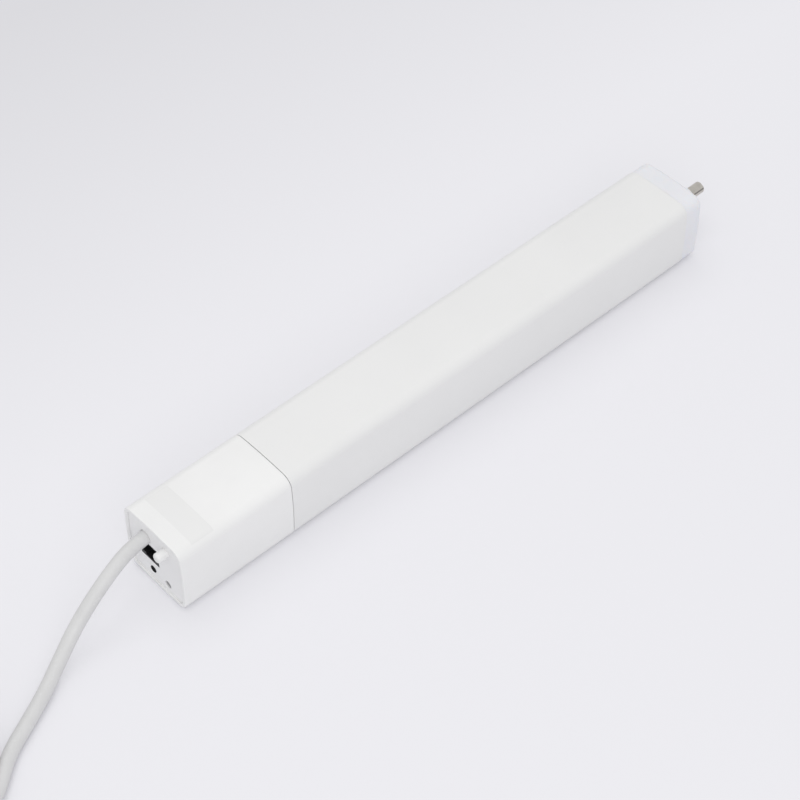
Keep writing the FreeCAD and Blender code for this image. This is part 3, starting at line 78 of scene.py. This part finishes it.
# Coil: inward on the lower layer and outward on the upper, with a climb of COIL_CLIMB turns between.
# COIL_LIFT leaves room for the strap under it, and the cord comes in straight over COIL_APPROACH
COIL_CENTRE = (-0.151, -0.0066)
COIL_RADIUS = 0.0466
COIL_PITCH = 0.0071
COIL_LAYER = 0.007
COIL_LIFT = 0.001
COIL_TURNS = 5
COIL_CLIMB = 0.5
COIL_ENTRY = math.radians(-54)
COIL_APPROACH = 0.0125
COIL_STEPS = 16
# From the coil over its top to the plug
TAIL_POINTS = [
    (-0.1415, -0.0532, 0.0125),
    (-0.1573, -0.0537, 0.0162),
    (-0.1726, -0.0491, 0.0179),
    (-0.1855, -0.0394, 0.0196),
    (-0.1942, -0.0259, 0.0211),
    (-0.1980, -0.0102, 0.0217),
    (-0.1963, 0.0060, 0.0217),
    (-0.1877, 0.0199, 0.02165),
    (-0.1736, 0.0282, 0.02165),
]

# Plug, lying on the coil. Along it, places are measured from the cord's entry
PLUG_PLACE = (-0.1515, 0.0235)
PLUG_HEADING = math.radians(-21)
PLUG_AXIS_UP = 0.02165
PLUG_STRAIGHT = 0.0065
PLUG_HALF_WIDTH = 0.0175
PLUG_HALF_HEIGHT = 0.00675
# How square a section is, from 2 for an ellipse
ROUND, GRIP_SQUARE, FRONT_SQUARE = 2, 5, 5.5
# Place and radius where the neck begins, then share of a rib and radius for each rib
NECK_END = [(0, 0.0037), (0.0006, 0.0043)]
NECK_START = 0.0008
NECK_RIBS = 3
NECK_RIB = 0.0026
NECK_RIB_FORM = [(0.0, 0.0043), (0.2, 0.0050), (0.6, 0.0051), (0.8, 0.0044)]
# Place, half width, half height and squareness between the neck and the ridges
GRIP_SECTIONS = [
    (0.0088, 0.0058, 0.0050, 2.4),
    (0.0098, 0.0086, 0.0060, 3.2),
    (0.0112, 0.0100, 0.0066, 4.2),
]
GRIP_START = 0.0126
GRIP_RIDGES = 4
GRIP_RIDGE = 0.0028
# Share of a ridge, and how far the surface drops there
GRIP_RIDGE_FORM = [(0.0, 0.0), (0.15, 0.0005), (0.35, 0.0005), (0.5, 0.0)]
# Where the grip's taper starts, its half width there, and where it reaches the full width
TAPER_START, TAPER_HALF_WIDTH, TAPER_END = 0.0095, 0.0095, 0.025
# Place and inset of the front's sections
FRONT_FORM = [(0.025, 0), (0.0408, 0), (0.0414, 0.0002), (0.0418, 0.0006), (0.042, 0.0014)]
PIN_SPACING = 0.0186
# Place and radius of the sleeves on the pins
SLEEVE_FORM = [(0.0415, 0.00215), (0.0514, 0.00215), (0.0519, 0.00206), (0.0519, 0.0019)]
SLEEVE_STEPS = 32

# Strap round the coil: a rounded loop in an upright plane through the coil's centre
TIE_HEADING = math.radians(-20)
STRAP_IN, STRAP_OUT = 0.0253, 0.0501
STRAP_LOW, STRAP_TOP = 0.0008, 0.0147
STRAP_CORNER = 0.003
STRAP_CORNER_STEPS = 8
STRAP_THICK = 0.0007
STRAP_WIDTH = 0.007
# In rounds of the loop: where the strap starts, its length, and the lap's start and climb along it
STRAP_START, STRAP_TURNS = 0.92, 1.2
LAP_START, LAP_CLIMB = 0.93, 0.05
STRAP_STEPS = 150
# How far ahead, as a share of the loop, the strap's direction is taken
STRAP_AHEAD = 0.002
# Solid share of the strap's thickness, and its outer face's share of the width
STRAP_SOLID, STRAP_BEVEL = 0.9, 0.97

# Floor and light
FLOOR_SIZE = 8
FLOOR_COLOUR = (0.80, 0.797, 0.836)
GLOW_COLOUR = (0.92, 0.915, 0.945)
# Share of the glow in what the camera sees
FLOOR_GLOW = 0.4
# The glow gives way to real shadow within this distance of the object
CONTACT_REACH = 0.003
CONTACT_SAMPLES = 8
# Painted shade on the floor, away from the light: where along Y it starts, where it is full, and the
# share of the floor's brightness left there
PAINTED_SHADE_START, PAINTED_SHADE_END, PAINTED_FLOOR_SHADE = 0.08, 0.36, 0.86
SKY_STRENGTH = 0.7
# Name, place, size and power of each lamp
LAMPS = [
    ("overhead", (0.1, 0.7, 2.0), 1.6, 7.5),
    ("front_fill", (-0.95, -1.2, 1.35), 1.8, 10.5),
]

# Clear film across the cover's top
FILM_MIDDLE = (NEAR_FACE + 0.01415, -0.0012, 0.039)
FILM_HALF = (0.00585, 0.0158, 0.002)
FILM_TONE = 0.935
FILM_THICK = 0.0001
# Painted reflection: a dark line along the lower edge of the flat at the shaft's tip
FLAT_LENGTH = 0.0095
PAINTED_REFLECTION_MIDDLE = (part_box("output_shaft")[1].x - FLAT_LENGTH / 2, -0.00278, 0.02084)
PAINTED_REFLECTION_HALF = (FLAT_LENGTH / 2, 0.00035, 0.00035)
PAINTED_REFLECTION_TONE = 0.42
# Texture stretch for tool marks that run round X
AROUND_X = (14, 1, 1)
# Bands per unit of a wave texture at scale 1
WAVE_BANDS = 3.183


def from_near(x, y, z):
    """A point measured from the near end face, in the frame."""
    return Vector((NEAR_FACE + x, y, z))


def clamped(value):
    """The value, kept between nought and one."""
    return min(1.0, max(0.0, value))


def new_object(name, data):
    """A piece that rides on the housing."""
    item = bpy.data.objects.new(name, data)
    bpy.context.scene.collection.objects.link(item)
    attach(item, HOUSING)
    return item


# Materials

class Finish:
    """One procedural material, built layer by layer."""

    def __init__(self, name, colour, roughness, metallic=0.0, **sockets):
        self.name = name
        self.material = bpy.data.materials.new(name)
        self.material.use_nodes = True
        self.tree = self.material.node_tree
        self.shader = self.tree.nodes["Principled BSDF"]
        self.shader.inputs["Base Color"].default_value = (*colour, 1.0)
        self.shader.inputs["Roughness"].default_value = roughness
        self.shader.inputs["Metallic"].default_value = metallic
        for socket, value in sockets.items():
            self.shader.inputs[socket.replace("_", " ")].default_value = value
        self.colour = None
        self.roughness = roughness
        self.base = colour
        self.height = None
        self.places = self.add("ShaderNodeTexCoord").outputs["Object"]

    def add(self, kind, **values):
        node = self.tree.nodes.new(kind)
        for key, value in values.items():
            setattr(node, key, value)
        return node

    def link(self, source, target):
        self.tree.links.new(source, target)

    def maths(self, operation, *values):
        """Result of a Math node, from numbers and other nodes' values."""
        node = self.add("ShaderNodeMath", operation=operation)
        for socket, value in zip(node.inputs, values):
            if isinstance(value, bpy.types.NodeSocket):
                self.link(value, socket)
            else:
                socket.default_value = value
        return node.outputs["Value"]

    def coordinates(self):
        """X, Y and Z of the texture place, in metres."""
        parts = self.add("ShaderNodeSeparateXYZ")
        self.link(self.places, parts.inputs["Vector"])
        return parts.outputs

    def stretched(self, stretch):
        """Texture places scaled along each axis, for grain that runs one way."""
        mapping = self.add("ShaderNodeMapping")
        mapping.inputs["Scale"].default_value = stretch
        self.link(self.places, mapping.inputs["Vector"])
        return mapping.outputs["Vector"]

    def noise(self, size, detail=2.0, stretch=(1, 1, 1)):
        """Noise whose cells measure about size, in metres."""
        node = self.add("ShaderNodeTexNoise")
        node.inputs["Scale"].default_value = 1 / size
        node.inputs["Detail"].default_value = detail
        self.link(self.stretched(stretch), node.inputs["Vector"])
        return node.outputs["Fac"]

    def cells(self, size):
        """Distance within rounded cells that measure about size, in metres."""
        node = self.add("ShaderNodeTexVoronoi")
        node.inputs["Scale"].default_value = 1 / size
        self.link(self.places, node.inputs["Vector"])
        return node.outputs["Distance"]

    def stripes(self, size, axis, blur=0.0):
        """Bands across one axis, size apart in metres."""
        node = self.add("ShaderNodeTexWave", bands_direction=axis)
        node.inputs["Scale"].default_value = 1 / (size * WAVE_BANDS)
        node.inputs["Distortion"].default_value = blur
        self.link(self.places, node.inputs["Vector"])
        return node.outputs["Fac"]

    def within(self, middle, half):
        """One inside a box that moves with the piece, nought outside it."""
        parts = self.coordinates()
        x, y, z = (
            self.maths("COMPARE", parts[axis], centre, reach)
            for axis, centre, reach in zip("XYZ", middle, half)
        )
        return self.maths("MULTIPLY", self.maths("MULTIPLY", x, y), z)

    def ranged(self, value, low, high, start=0.3, end=0.7):
        """Goes from low to high as value goes from start to end, and no further."""
        node = self.add("ShaderNodeMapRange", clamp=True)
        limits = {"From Min": start, "From Max": end, "To Min": low, "To Max": high}
        for socket, number in limits.items():
            node.inputs[socket].default_value = number
        self.link(value, node.inputs["Value"])
        return node.outputs["Result"]

    def tint(self, value, other, start=0.35, end=0.65, amount=1.0):
        """Mixes another colour in where value is high."""
        mix = self.add("ShaderNodeMix", data_type="RGBA")
        if self.colour is None:
            mix.inputs["A"].default_value = (*self.base, 1.0)
        else:
            self.link(self.colour, mix.inputs["A"])
        mix.inputs["B"].default_value = (*other, 1.0)
        self.link(self.ranged(value, 0.0, amount, start, end), mix.inputs["Factor"])
        self.colour = mix.outputs["Result"]
        self.link(self.colour, self.shader.inputs["Base Color"])

    def rough(self, value, spread):
        """Lets the roughness vary either side of its own value."""
        low, high = self.roughness - spread, self.roughness + spread
        self.link(self.ranged(value, low, high), self.shader.inputs["Roughness"])

    def bump(self, value, depth, strength=0.5):
        """Adds relief of about depth, in metres, under what is there already."""
        node = self.add("ShaderNodeBump")
        node.inputs["Strength"].default_value = strength
        node.inputs["Distance"].default_value = depth
        self.link(value, node.inputs["Height"])
        if self.height is not None:
            self.link(self.height, node.inputs["Normal"])
        self.height = node.outputs["Normal"]
        self.link(self.height, self.shader.inputs["Normal"])


def shade(colour, share):
    """The same colour, lighter or darker by a share."""
    return tuple(min(1.0, part * share) for part in colour)


def moulded(name, colour, roughness, grain=0.0004, depth=0.000012, **sockets):
    """Moulded plastic: spark-eroded grain, faint flow clouding."""
    finish = Finish(name, colour, roughness, **sockets)
    finish.tint(finish.noise(0.03, 3), shade(colour, 0.975))
    finish.rough(finish.noise(0.006, 4), 0.04)
    finish.bump(finish.noise(grain, 3), depth, 0.35)
    return finish


def filmed(name, colour, roughness):
    """Moulded plastic with a thin clear film stuck across its top."""
    finish = moulded(name, colour, roughness)
    film = finish.within(FILM_MIDDLE, FILM_HALF)
    finish.tint(film, shade(colour, FILM_TONE))
    finish.bump(film, FILM_THICK, 0.5)
    return finish


def painted(name, colour, roughness):
    """Powder coat: orange peel over fine grain, and a few specks."""
    finish = Finish(name, colour, roughness)
    finish.tint(finish.noise(0.05, 3), shade(colour, 0.98))
    finish.tint(finish.noise(0.0012, 1), shade(colour, 0.93), 0.72, 0.8, 0.6)
    finish.rough(finish.noise(0.004, 4), 0.05)
    finish.bump(finish.noise(0.0013, 2), 0.00003, 0.3)
    finish.bump(finish.noise(0.0003, 2), 0.000008, 0.3)
    return finish


def metal(name, colour, roughness, stretch=(1, 1, 1), grain=0.0004, depth=0.000006):
    """Worked metal: fine tool marks along one way, and uneven shine."""
    finish = Finish(name, colour, roughness, metallic=1.0)
    finish.tint(finish.noise(0.003, 3), shade(colour, 0.86))
    finish.rough(finish.noise(grain, 3, stretch), 0.08)
    finish.bump(finish.noise(grain, 3, stretch), depth, 0.4)
    return finish


def turned(name, colour, roughness):
    """Turned steel, with a painted reflection: a dark line along the lower edge of its flat."""
    finish = metal(name, colour, roughness, AROUND_X, grain=0.0012, depth=0.00001)
    # Painted reflection: darkens the steel in a thin box along the flat's lower edge
    edge = finish.within(PAINTED_REFLECTION_MIDDLE, PAINTED_REFLECTION_HALF)
    finish.tint(edge, shade(colour, PAINTED_REFLECTION_TONE))
    return finish


def rubbery(name, colour, roughness):
    """Rubber or soft sheath: faint mottling and uneven shine."""
    finish = Finish(name, colour, roughness)
    finish.tint(finish.noise(0.008, 4), shade(colour, 1.25))
    finish.rough(finish.noise(0.002, 4), 0.06)
    finish.bump(finish.noise(0.0006, 3), 0.00002, 0.4)
    return finish


def clouded(name, colour, roughness):
    """Milky plastic that light gets into."""
    finish = Finish(name, colour, roughness, Subsurface_Weight=0.25)
    finish.shader.inputs["Subsurface Radius"].default_value = (0.003, 0.004, 0.005)
    finish.tint(finish.noise(0.02, 3), shade(colour, 0.97))
    finish.rough(finish.noise(0.005, 3), 0.04)
    finish.bump(finish.noise(0.0005, 2), 0.00001, 0.3)
    return finish


def cord_jacket(name, colour, roughness):
    """Soft sheath: waxy streaks along it, and faint ripples from the cores under it."""
    finish = Finish(name, colour, roughness)
    finish.tint(finish.noise(0.012, 4), shade(colour, 0.96))
    finish.tint(finish.noise(0.0015, 2), shade(colour, 1.03), 0.6, 0.75)
    finish.rough(finish.noise(0.003, 4), 0.07)
    finish.bump(finish.noise(0.009, 2), 0.00009, 0.3)
    finish.bump(finish.noise(0.0006, 3), 0.000015, 0.4)
    return finish


def circuit_board(name, colour, roughness):
    """Solder mask over tracks, with pads."""
    finish = Finish(name, colour, roughness, Specular_IOR_Level=0.5)
    tracks = finish.add("ShaderNodeTexBrick")
    tracks.inputs["Scale"].default_value = 260
    tracks.inputs["Mortar Size"].default_value = 0.06
    finish.link(finish.places, tracks.inputs["Vector"])
    finish.tint(tracks.outputs["Fac"], shade(colour, 1.7), 0.4, 0.6)
    finish.tint(finish.cells(0.004), (0.60, 0.57, 0.50), 0.12, 0.08)
    finish.bump(tracks.outputs["Fac"], 0.00003, 0.5)
    return finish


def wound(name, colour, roughness, size, axis):
    """Enamelled wire, turn by turn."""
    finish = Finish(name, colour, roughness, metallic=0.7)
    turns = finish.stripes(size, axis, 0.4)
    finish.tint(turns, shade(colour, 0.45), 0.25, 0.05)
    finish.tint(finish.noise(0.004, 3), shade(colour, 0.8))
    finish.bump(turns, size / 3, 0.8)
    return finish


def stacked(name, colour, roughness):
    """Thin sheets of steel, stacked along the axis."""
    finish = Finish(name, colour, roughness, metallic=0.9)
    sheets = finish.stripes(0.0005, "X")
    finish.tint(sheets, shade(colour, 0.6), 0.3, 0.1)
    finish.tint(finish.noise(0.003, 4), (0.22, 0.15, 0.10), 0.6, 0.8, 0.5)
    finish.bump(sheets, 0.00008, 0.7)
    return finish


def woven(name, colour, roughness):
    """Narrow woven strap."""
    finish = Finish(name, colour, roughness, Sheen_Weight=0.3)
    warp = finish.stripes(0.0006, "X", 0.3)
    weft = finish.stripes(0.0006, "Z", 0.3)
    finish.tint(warp, shade(colour, 0.8), 0.3, 0.1)
    finish.tint(weft, shade(colour, 0.85), 0.3, 0.1)
    finish.bump(warp, 0.00012, 0.6)
    finish.bump(weft, 0.00012, 0.6)
    return finish


def sintered(name, colour, roughness):
    """Pressed metal powder, full of small pores."""
    finish = Finish(name, colour, roughness, metallic=0.9)
    finish.tint(finish.cells(0.0004), shade(colour, 0.5), 0.15, 0.05)
    finish.bump(finish.cells(0.0004), 0.00004, 0.6)
    return finish


# The finish of each of the record's slots
FINISHES = {finish.name: finish for finish in (
    painted("tube_paint", (0.83, 0.83, 0.828), 0.42),
    filmed("cover_plastic", (0.87, 0.87, 0.868), 0.4),
    moulded("plate_plastic", (0.885, 0.885, 0.887), 0.55, grain=0.0006, depth=0.00003),
    clouded("cap_plastic", (0.82, 0.825, 0.86), 0.38),
    moulded("black_plastic", (0.012, 0.012, 0.013), 0.5, Specular_IOR_Level=0.25),
    moulded("lens_plastic", (0.002, 0.002, 0.002), 0.5,
            grain=0.002, depth=0.000004, Specular_IOR_Level=0.02),
    moulded("grey_plastic", (0.26, 0.26, 0.265), 0.45),
    moulded("tray_plastic", (0.62, 0.62, 0.60), 0.5),
    metal("contact_metal", (0.83, 0.62, 0.26), 0.25),
    circuit_board("circuit_board", (0.03, 0.20, 0.09), 0.35),
    moulded("terminal_plastic", (0.06, 0.32, 0.15), 0.4),
    wound("copper", (0.72, 0.30, 0.14), 0.3, 0.0006, "X"),
    moulded("ferrite", (0.045, 0.045, 0.05), 0.6, grain=0.0005, depth=0.00005),
    moulded("capacitor_sleeve", (0.03, 0.04, 0.07), 0.28),
    metal("shield_metal", (0.66, 0.66, 0.65), 0.35),
    rubbery("wire_sheath", (0.15, 0.07, 0.03), 0.45),
    metal("motor_steel", (0.60, 0.61, 0.62), 0.35, AROUND_X),
    stacked("core_steel", (0.30, 0.30, 0.31), 0.5),
    moulded("carbon", (0.03, 0.03, 0.03), 0.7, grain=0.0003, depth=0.00004),
    sintered("bronze", (0.55, 0.36, 0.17), 0.45),
    metal("gear_steel", (0.50, 0.50, 0.51), 0.38),
    turned("shaft_steel", (0.66, 0.63, 0.585), 0.36),
    metal("zinc", (0.62, 0.62, 0.63), 0.5, grain=0.001, depth=0.00003),
    rubbery("soft_rubber", (0.03, 0.03, 0.03), 0.7),
    cord_jacket("cord_jacket", (0.69, 0.69, 0.692), 0.44),
    woven("tie_strap", (0.66, 0.66, 0.67), 0.75),
    moulded("plug_plastic", (0.74, 0.74, 0.745), 0.45, grain=0.0006, depth=0.00003),
    metal("plug_metal", (0.70, 0.67, 0.60), 0.25),
)}


def dress(item, slot):
    """Gives a new piece the finish of one of the record's slots."""
    item.data.materials.clear()
    item.data.materials.append(FINISHES[slot].material)


def dress_frame():
    """Gives each CAD node the finish of its slot."""
    for part in frame["record"]["subparts"]:
        node = frame["nodes"][part["node"]]
        finish = FINISHES[part["material_slot"]].material
        if not node.data.materials:
            node.data.materials.append(finish)
        for place in node.material_slots:
            place.material = finish


# Cord, strap and plug

def coil_point(turns):
    """Place on the coil after some turns: inward on the lower layer, then outward on the upper."""
    radius = COIL_RADIUS - COIL_PITCH * min(turns, COIL_TURNS - turns)
    radius /= math.cos(math.pi / COIL_STEPS)
    climb = clamped((turns - COIL_TURNS / 2) / COIL_CLIMB + 0.5)
    up = COIL_LIFT + CORD_DIAMETER / 2 + COIL_LAYER * (1 - math.cos(math.pi * climb)) / 2
    angle = COIL_ENTRY - 2 * math.pi * turns
    x, y = COIL_CENTRE
    return x + radius * math.cos(angle), y + radius * math.sin(angle), up


def cord_route():
    """Points of the whole cord: out of the plate, along the floor, round the coil, to the plug."""
    start = [(PLATE_BACK, CORD_ACROSS, CORD_UP), CORD_STRAIGHT]
    first = Vector(coil_point(0))
    along = (Vector(coil_point(1 / COIL_STEPS)) - first).normalized()
    coil = [coil_point(step / COIL_STEPS) for step in range(COIL_TURNS * COIL_STEPS + 1)]
    heading = Vector((math.cos(PLUG_HEADING), math.sin(PLUG_HEADING), 0))
    entry = Vector((*PLUG_PLACE, PLUG_AXIS_UP))
    end = [tuple(entry - heading * PLUG_STRAIGHT), tuple(entry)]
    approach = [tuple(first - along * COIL_APPROACH)]
    return start + LEAD_POINTS + approach + coil + TAIL_POINTS + end


def mains_cord():
    """The whole cord as one spline, from inside the plate to the plug."""
    curve = bpy.data.curves.new("mains_cord", "CURVE")
    curve.dimensions = "3D"
    points = cord_route()
    spline = curve.splines.new("NURBS")
    spline.points.add(len(points) - 1)
    for point, place in zip(spline.points, points):
        point.co = (*from_near(*place), 1.0)
        point.radius = CORD_DIAMETER / 2
    spline.order_u = 3
    spline.use_endpoint_u = True
    spline.resolution_u = ROUTE_STEPS
    curve.bevel_depth = 1.0
    curve.bevel_resolution = ROUND_STEPS
    curve.use_fill_caps = True
    item = new_object("mains_cord", curve)
    dress(item, "cord_jacket")
    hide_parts("cord_lead", "cord_coil")
    return item


def mesh_object(name, bm, slot, sharp=40):
    """Turns finished mesh code into a piece, smooth except at sharp edges."""
    bmesh.ops.recalc_face_normals(bm, faces=bm.faces)
    mesh = bpy.data.meshes.new(name)
    bm.to_mesh(mesh)
    bm.free()
    mesh.shade_smooth()
    mesh.set_sharp_from_angle(angle=math.radians(sharp))
    item = new_object(name, mesh)
    dress(item, slot)
    return item


def skin(bm, rings):
    """Faces between rings of points, with the two ends filled."""
    rings = [[bm.verts.new(point) for point in ring] for ring in rings]
    for near, far in zip(rings, rings[1:]):
        for number, corner in enumerate(near):
            after = (number + 1) % len(near)
            bm.faces.new((corner, near[after], far[after], far[number]))
    bm.faces.new(rings[0][::-1])
    bm.faces.new(rings[-1])


def oval(half_width, half_height, power, steps=56):
    """Points round a section, from an ellipse at power 2 towards a rectangle."""
    points = []
    for step in range(steps):
        angle = 2 * math.pi * step / steps
        across, up = math.cos(angle), math.sin(angle)
        y = half_width * math.copysign(abs(across) ** (2 / power), across)
        z = half_height * math.copysign(abs(up) ** (2 / power), up)
        points.append((y, z))
    return points


def plug_placing():
    """Turns a place along, across and above the plug's axis into one in the frame."""
    place = Matrix.Translation(from_near(*PLUG_PLACE, PLUG_AXIS_UP))
    return place @ Matrix.Rotation(PLUG_HEADING, 4, "Z")


def plug_sections():
    """Sections along the plug: ribbed neck, widening grip with ridges, square front."""
    sections = [(along, radius, radius, ROUND) for along, radius in NECK_END]
    for rib in range(NECK_RIBS):
        start = NECK_START + rib * NECK_RIB
        for share, radius in NECK_RIB_FORM:
            sections.append((start + share * NECK_RIB, radius, radius, ROUND))
    sections += GRIP_SECTIONS
    slope = (PLUG_HALF_WIDTH - TAPER_HALF_WIDTH) / (TAPER_END - TAPER_START)
    for ridge in range(GRIP_RIDGES):
        start = GRIP_START + ridge * GRIP_RIDGE
        for share, drop in GRIP_RIDGE_FORM:
            along = start + share * GRIP_RIDGE
            half_width = TAPER_HALF_WIDTH + (along - TAPER_START) * slope
            sections.append((along, half_width, PLUG_HALF_HEIGHT - drop, GRIP_SQUARE))
    for along, inset in FRONT_FORM:
        sections.append((along, PLUG_HALF_WIDTH - inset, PLUG_HALF_HEIGHT - inset, FRONT_SQUARE))
    return sections


def plug_shell():
    """The plug's moulded body, from its sections."""
    bm = bmesh.new()
    placing = plug_placing()
    rings = []
    for along, *section in plug_sections():
        rings.append([placing @ Vector((along, y, z)) for y, z in oval(*section)])
    skin(bm, rings)
    item = mesh_object("plug_shell", bm, "plug_plastic")
    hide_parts("plug_body")


def pin_sleeves():
    """Insulation on the first part of both pins."""
    bm = bmesh.new()
    placing = plug_placing()
    for side in (-1, 1):
        across = side * PIN_SPACING / 2
        rings = []
        for along, radius in SLEEVE_FORM:
            section = oval(radius, radius, ROUND, SLEEVE_STEPS)
            rings.append([placing @ Vector((along, across + y, z)) for y, z in section])
        skin(bm, rings)
    mesh_object("pin_sleeves", bm, "black_plastic")


def strap_point(share):
    """Place on the strap's loop, in its own upright plane: out from the coil's centre, and up."""
    radius = STRAP_CORNER
    corners = [
        (STRAP_OUT - radius, STRAP_TOP - radius, 0),
        (STRAP_IN + radius, STRAP_TOP - radius, 90),
        (STRAP_IN + radius, STRAP_LOW + radius, 180),
        (STRAP_OUT - radius, STRAP_LOW + radius, 270),
    ]
    points = []
    for x, z, start in corners:
        for step in range(STRAP_CORNER_STEPS + 1):
            angle = math.radians(start + step * 90 / STRAP_CORNER_STEPS)
            points.append(Vector((x + radius * math.cos(angle), z + radius * math.sin(angle))))
    lengths = [(points[i - 1] - points[i]).length for i in range(len(points))]
    away = share % 1.0 * sum(lengths)
    for number in range(1, len(points) + 1):
        length = lengths[number % len(points)]
        if away <= length:
            return points[number - 1].lerp(points[number % len(points)], away / length)
        away -= length
    return points[0]


def cord_strap():
    """Hook and loop strap: once round the coil, its end lying over its start."""
    bm = bmesh.new()
    placing = Matrix.Translation(from_near(*COIL_CENTRE, 0)) @ Matrix.Rotation(TIE_HEADING, 4, "Z")
    middle = Vector(((STRAP_OUT + STRAP_IN) / 2, (STRAP_TOP + STRAP_LOW) / 2))
    half = STRAP_WIDTH / 2
    edge = half * STRAP_BEVEL
    rings = []
    for step in range(STRAP_STEPS + 1):
        away = step / STRAP_STEPS * STRAP_TURNS
        here, ahead = strap_point(STRAP_START + away), strap_point(STRAP_START + away + STRAP_AHEAD)
        out = Vector(((ahead - here).y, -(ahead - here).x)).normalized()
        if out.dot(here - middle) < 0:
            out = -out
        inner = here + out * (clamped((away - LAP_START) / LAP_CLIMB) * STRAP_THICK)
        outer = inner + out * STRAP_THICK * STRAP_SOLID
        corners = (inner, -half), (outer, -edge), (outer, edge), (inner, half)
        rings.append([placing @ Vector((point.x, y, point.y)) for point, y in corners])
    skin(bm, rings)
    item = mesh_object("cord_strap", bm, "tie_strap", sharp=30)
    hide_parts("cord_tie")


def floor():
    """Pale table: seen or mirrored it glows a little, which keeps its shadows faint, and painted
    shade darkens it away from the light.
    """
    bpy.ops.mesh.primitive_plane_add(size=FLOOR_SIZE)
    plane = bpy.context.object
    plane.name = "floor"
    paper = Finish("floor_paper", FLOOR_COLOUR, 0.9, Specular_IOR_Level=0.0)
    # Painted shade: the floor's colour and glow darken along Y, away from the light
    away = paper.coordinates()["Y"]
    paper.tint(away, shade(paper.base, PAINTED_FLOOR_SHADE), PAINTED_SHADE_START, PAINTED_SHADE_END)
    glow = paper.add("ShaderNodeEmission")
    glow.inputs["Color"].default_value = (*GLOW_COLOUR, 1.0)
    paper.link(paper.ranged(away, 1.0, PAINTED_FLOOR_SHADE, PAINTED_SHADE_START, PAINTED_SHADE_END), glow.inputs["Strength"])
    rays = paper.add("ShaderNodeLightPath").outputs
    seen = paper.maths("MAXIMUM", rays["Is Camera Ray"], rays["Is Glossy Ray"])
    seen = paper.maths("MAXIMUM", seen, rays["Is Transmission Ray"])
    near = paper.add("ShaderNodeAmbientOcclusion", samples=CONTACT_SAMPLES)
    near.inputs["Distance"].default_value = CONTACT_REACH
    mix = paper.add("ShaderNodeMixShader")
    open_share = paper.maths("MULTIPLY", near.outputs["AO"], FLOOR_GLOW)
    paper.link(paper.maths("MULTIPLY", seen, open_share), mix.inputs["Fac"])
    paper.link(paper.shader.outputs["BSDF"], mix.inputs[1])
    paper.link(glow.outputs["Emission"], mix.inputs[2])
    paper.link(mix.outputs["Shader"], paper.tree.nodes["Material Output"].inputs["Surface"])
    plane.data.materials.append(paper.material)


def lamp(name, place, size, power):
    """Round soft lamp that points at the origin."""
    data = bpy.data.lights.new(name, "AREA")
    data.shape = "DISK"
    data.size = size
    data.energy = power
    item = bpy.data.objects.new(name, data)
    item.location = place
    item.rotation_euler = (-Vector(place)).to_track_quat("-Z", "Y").to_euler()
    bpy.context.scene.collection.objects.link(item)


def light():
    """White surroundings and two soft lamps."""
    world = bpy.data.worlds.new("studio")
    world.use_nodes = True
    sky = world.node_tree.nodes["Background"]
    sky.inputs["Color"].default_value = (1.0, 1.0, 1.0, 1.0)
    sky.inputs["Strength"].default_value = SKY_STRENGTH
    bpy.context.scene.world = world
    for values in LAMPS:
        lamp(*values)


def camera():
    """The photograph's camera."""
    data = bpy.data.cameras.new("camera")
    data.lens = CAMERA_LENS
    data.sensor_width = SENSOR
    data.clip_start, data.clip_end = CAMERA_CLIP
    item = bpy.data.objects.new("camera", data)
    item.location = from_near(*CAMERA_PLACE)
    item.rotation_euler = [math.radians(angle) for angle in CAMERA_TURN]
    bpy.context.scene.collection.objects.link(item)
    bpy.context.scene.camera = item


camera()
dress_frame()
cord = mains_cord()
plug_shell()
pin_sleeves()
cord_strap()
floor()
light()
bpy.context.scene.view_settings.view_transform = "Standard"
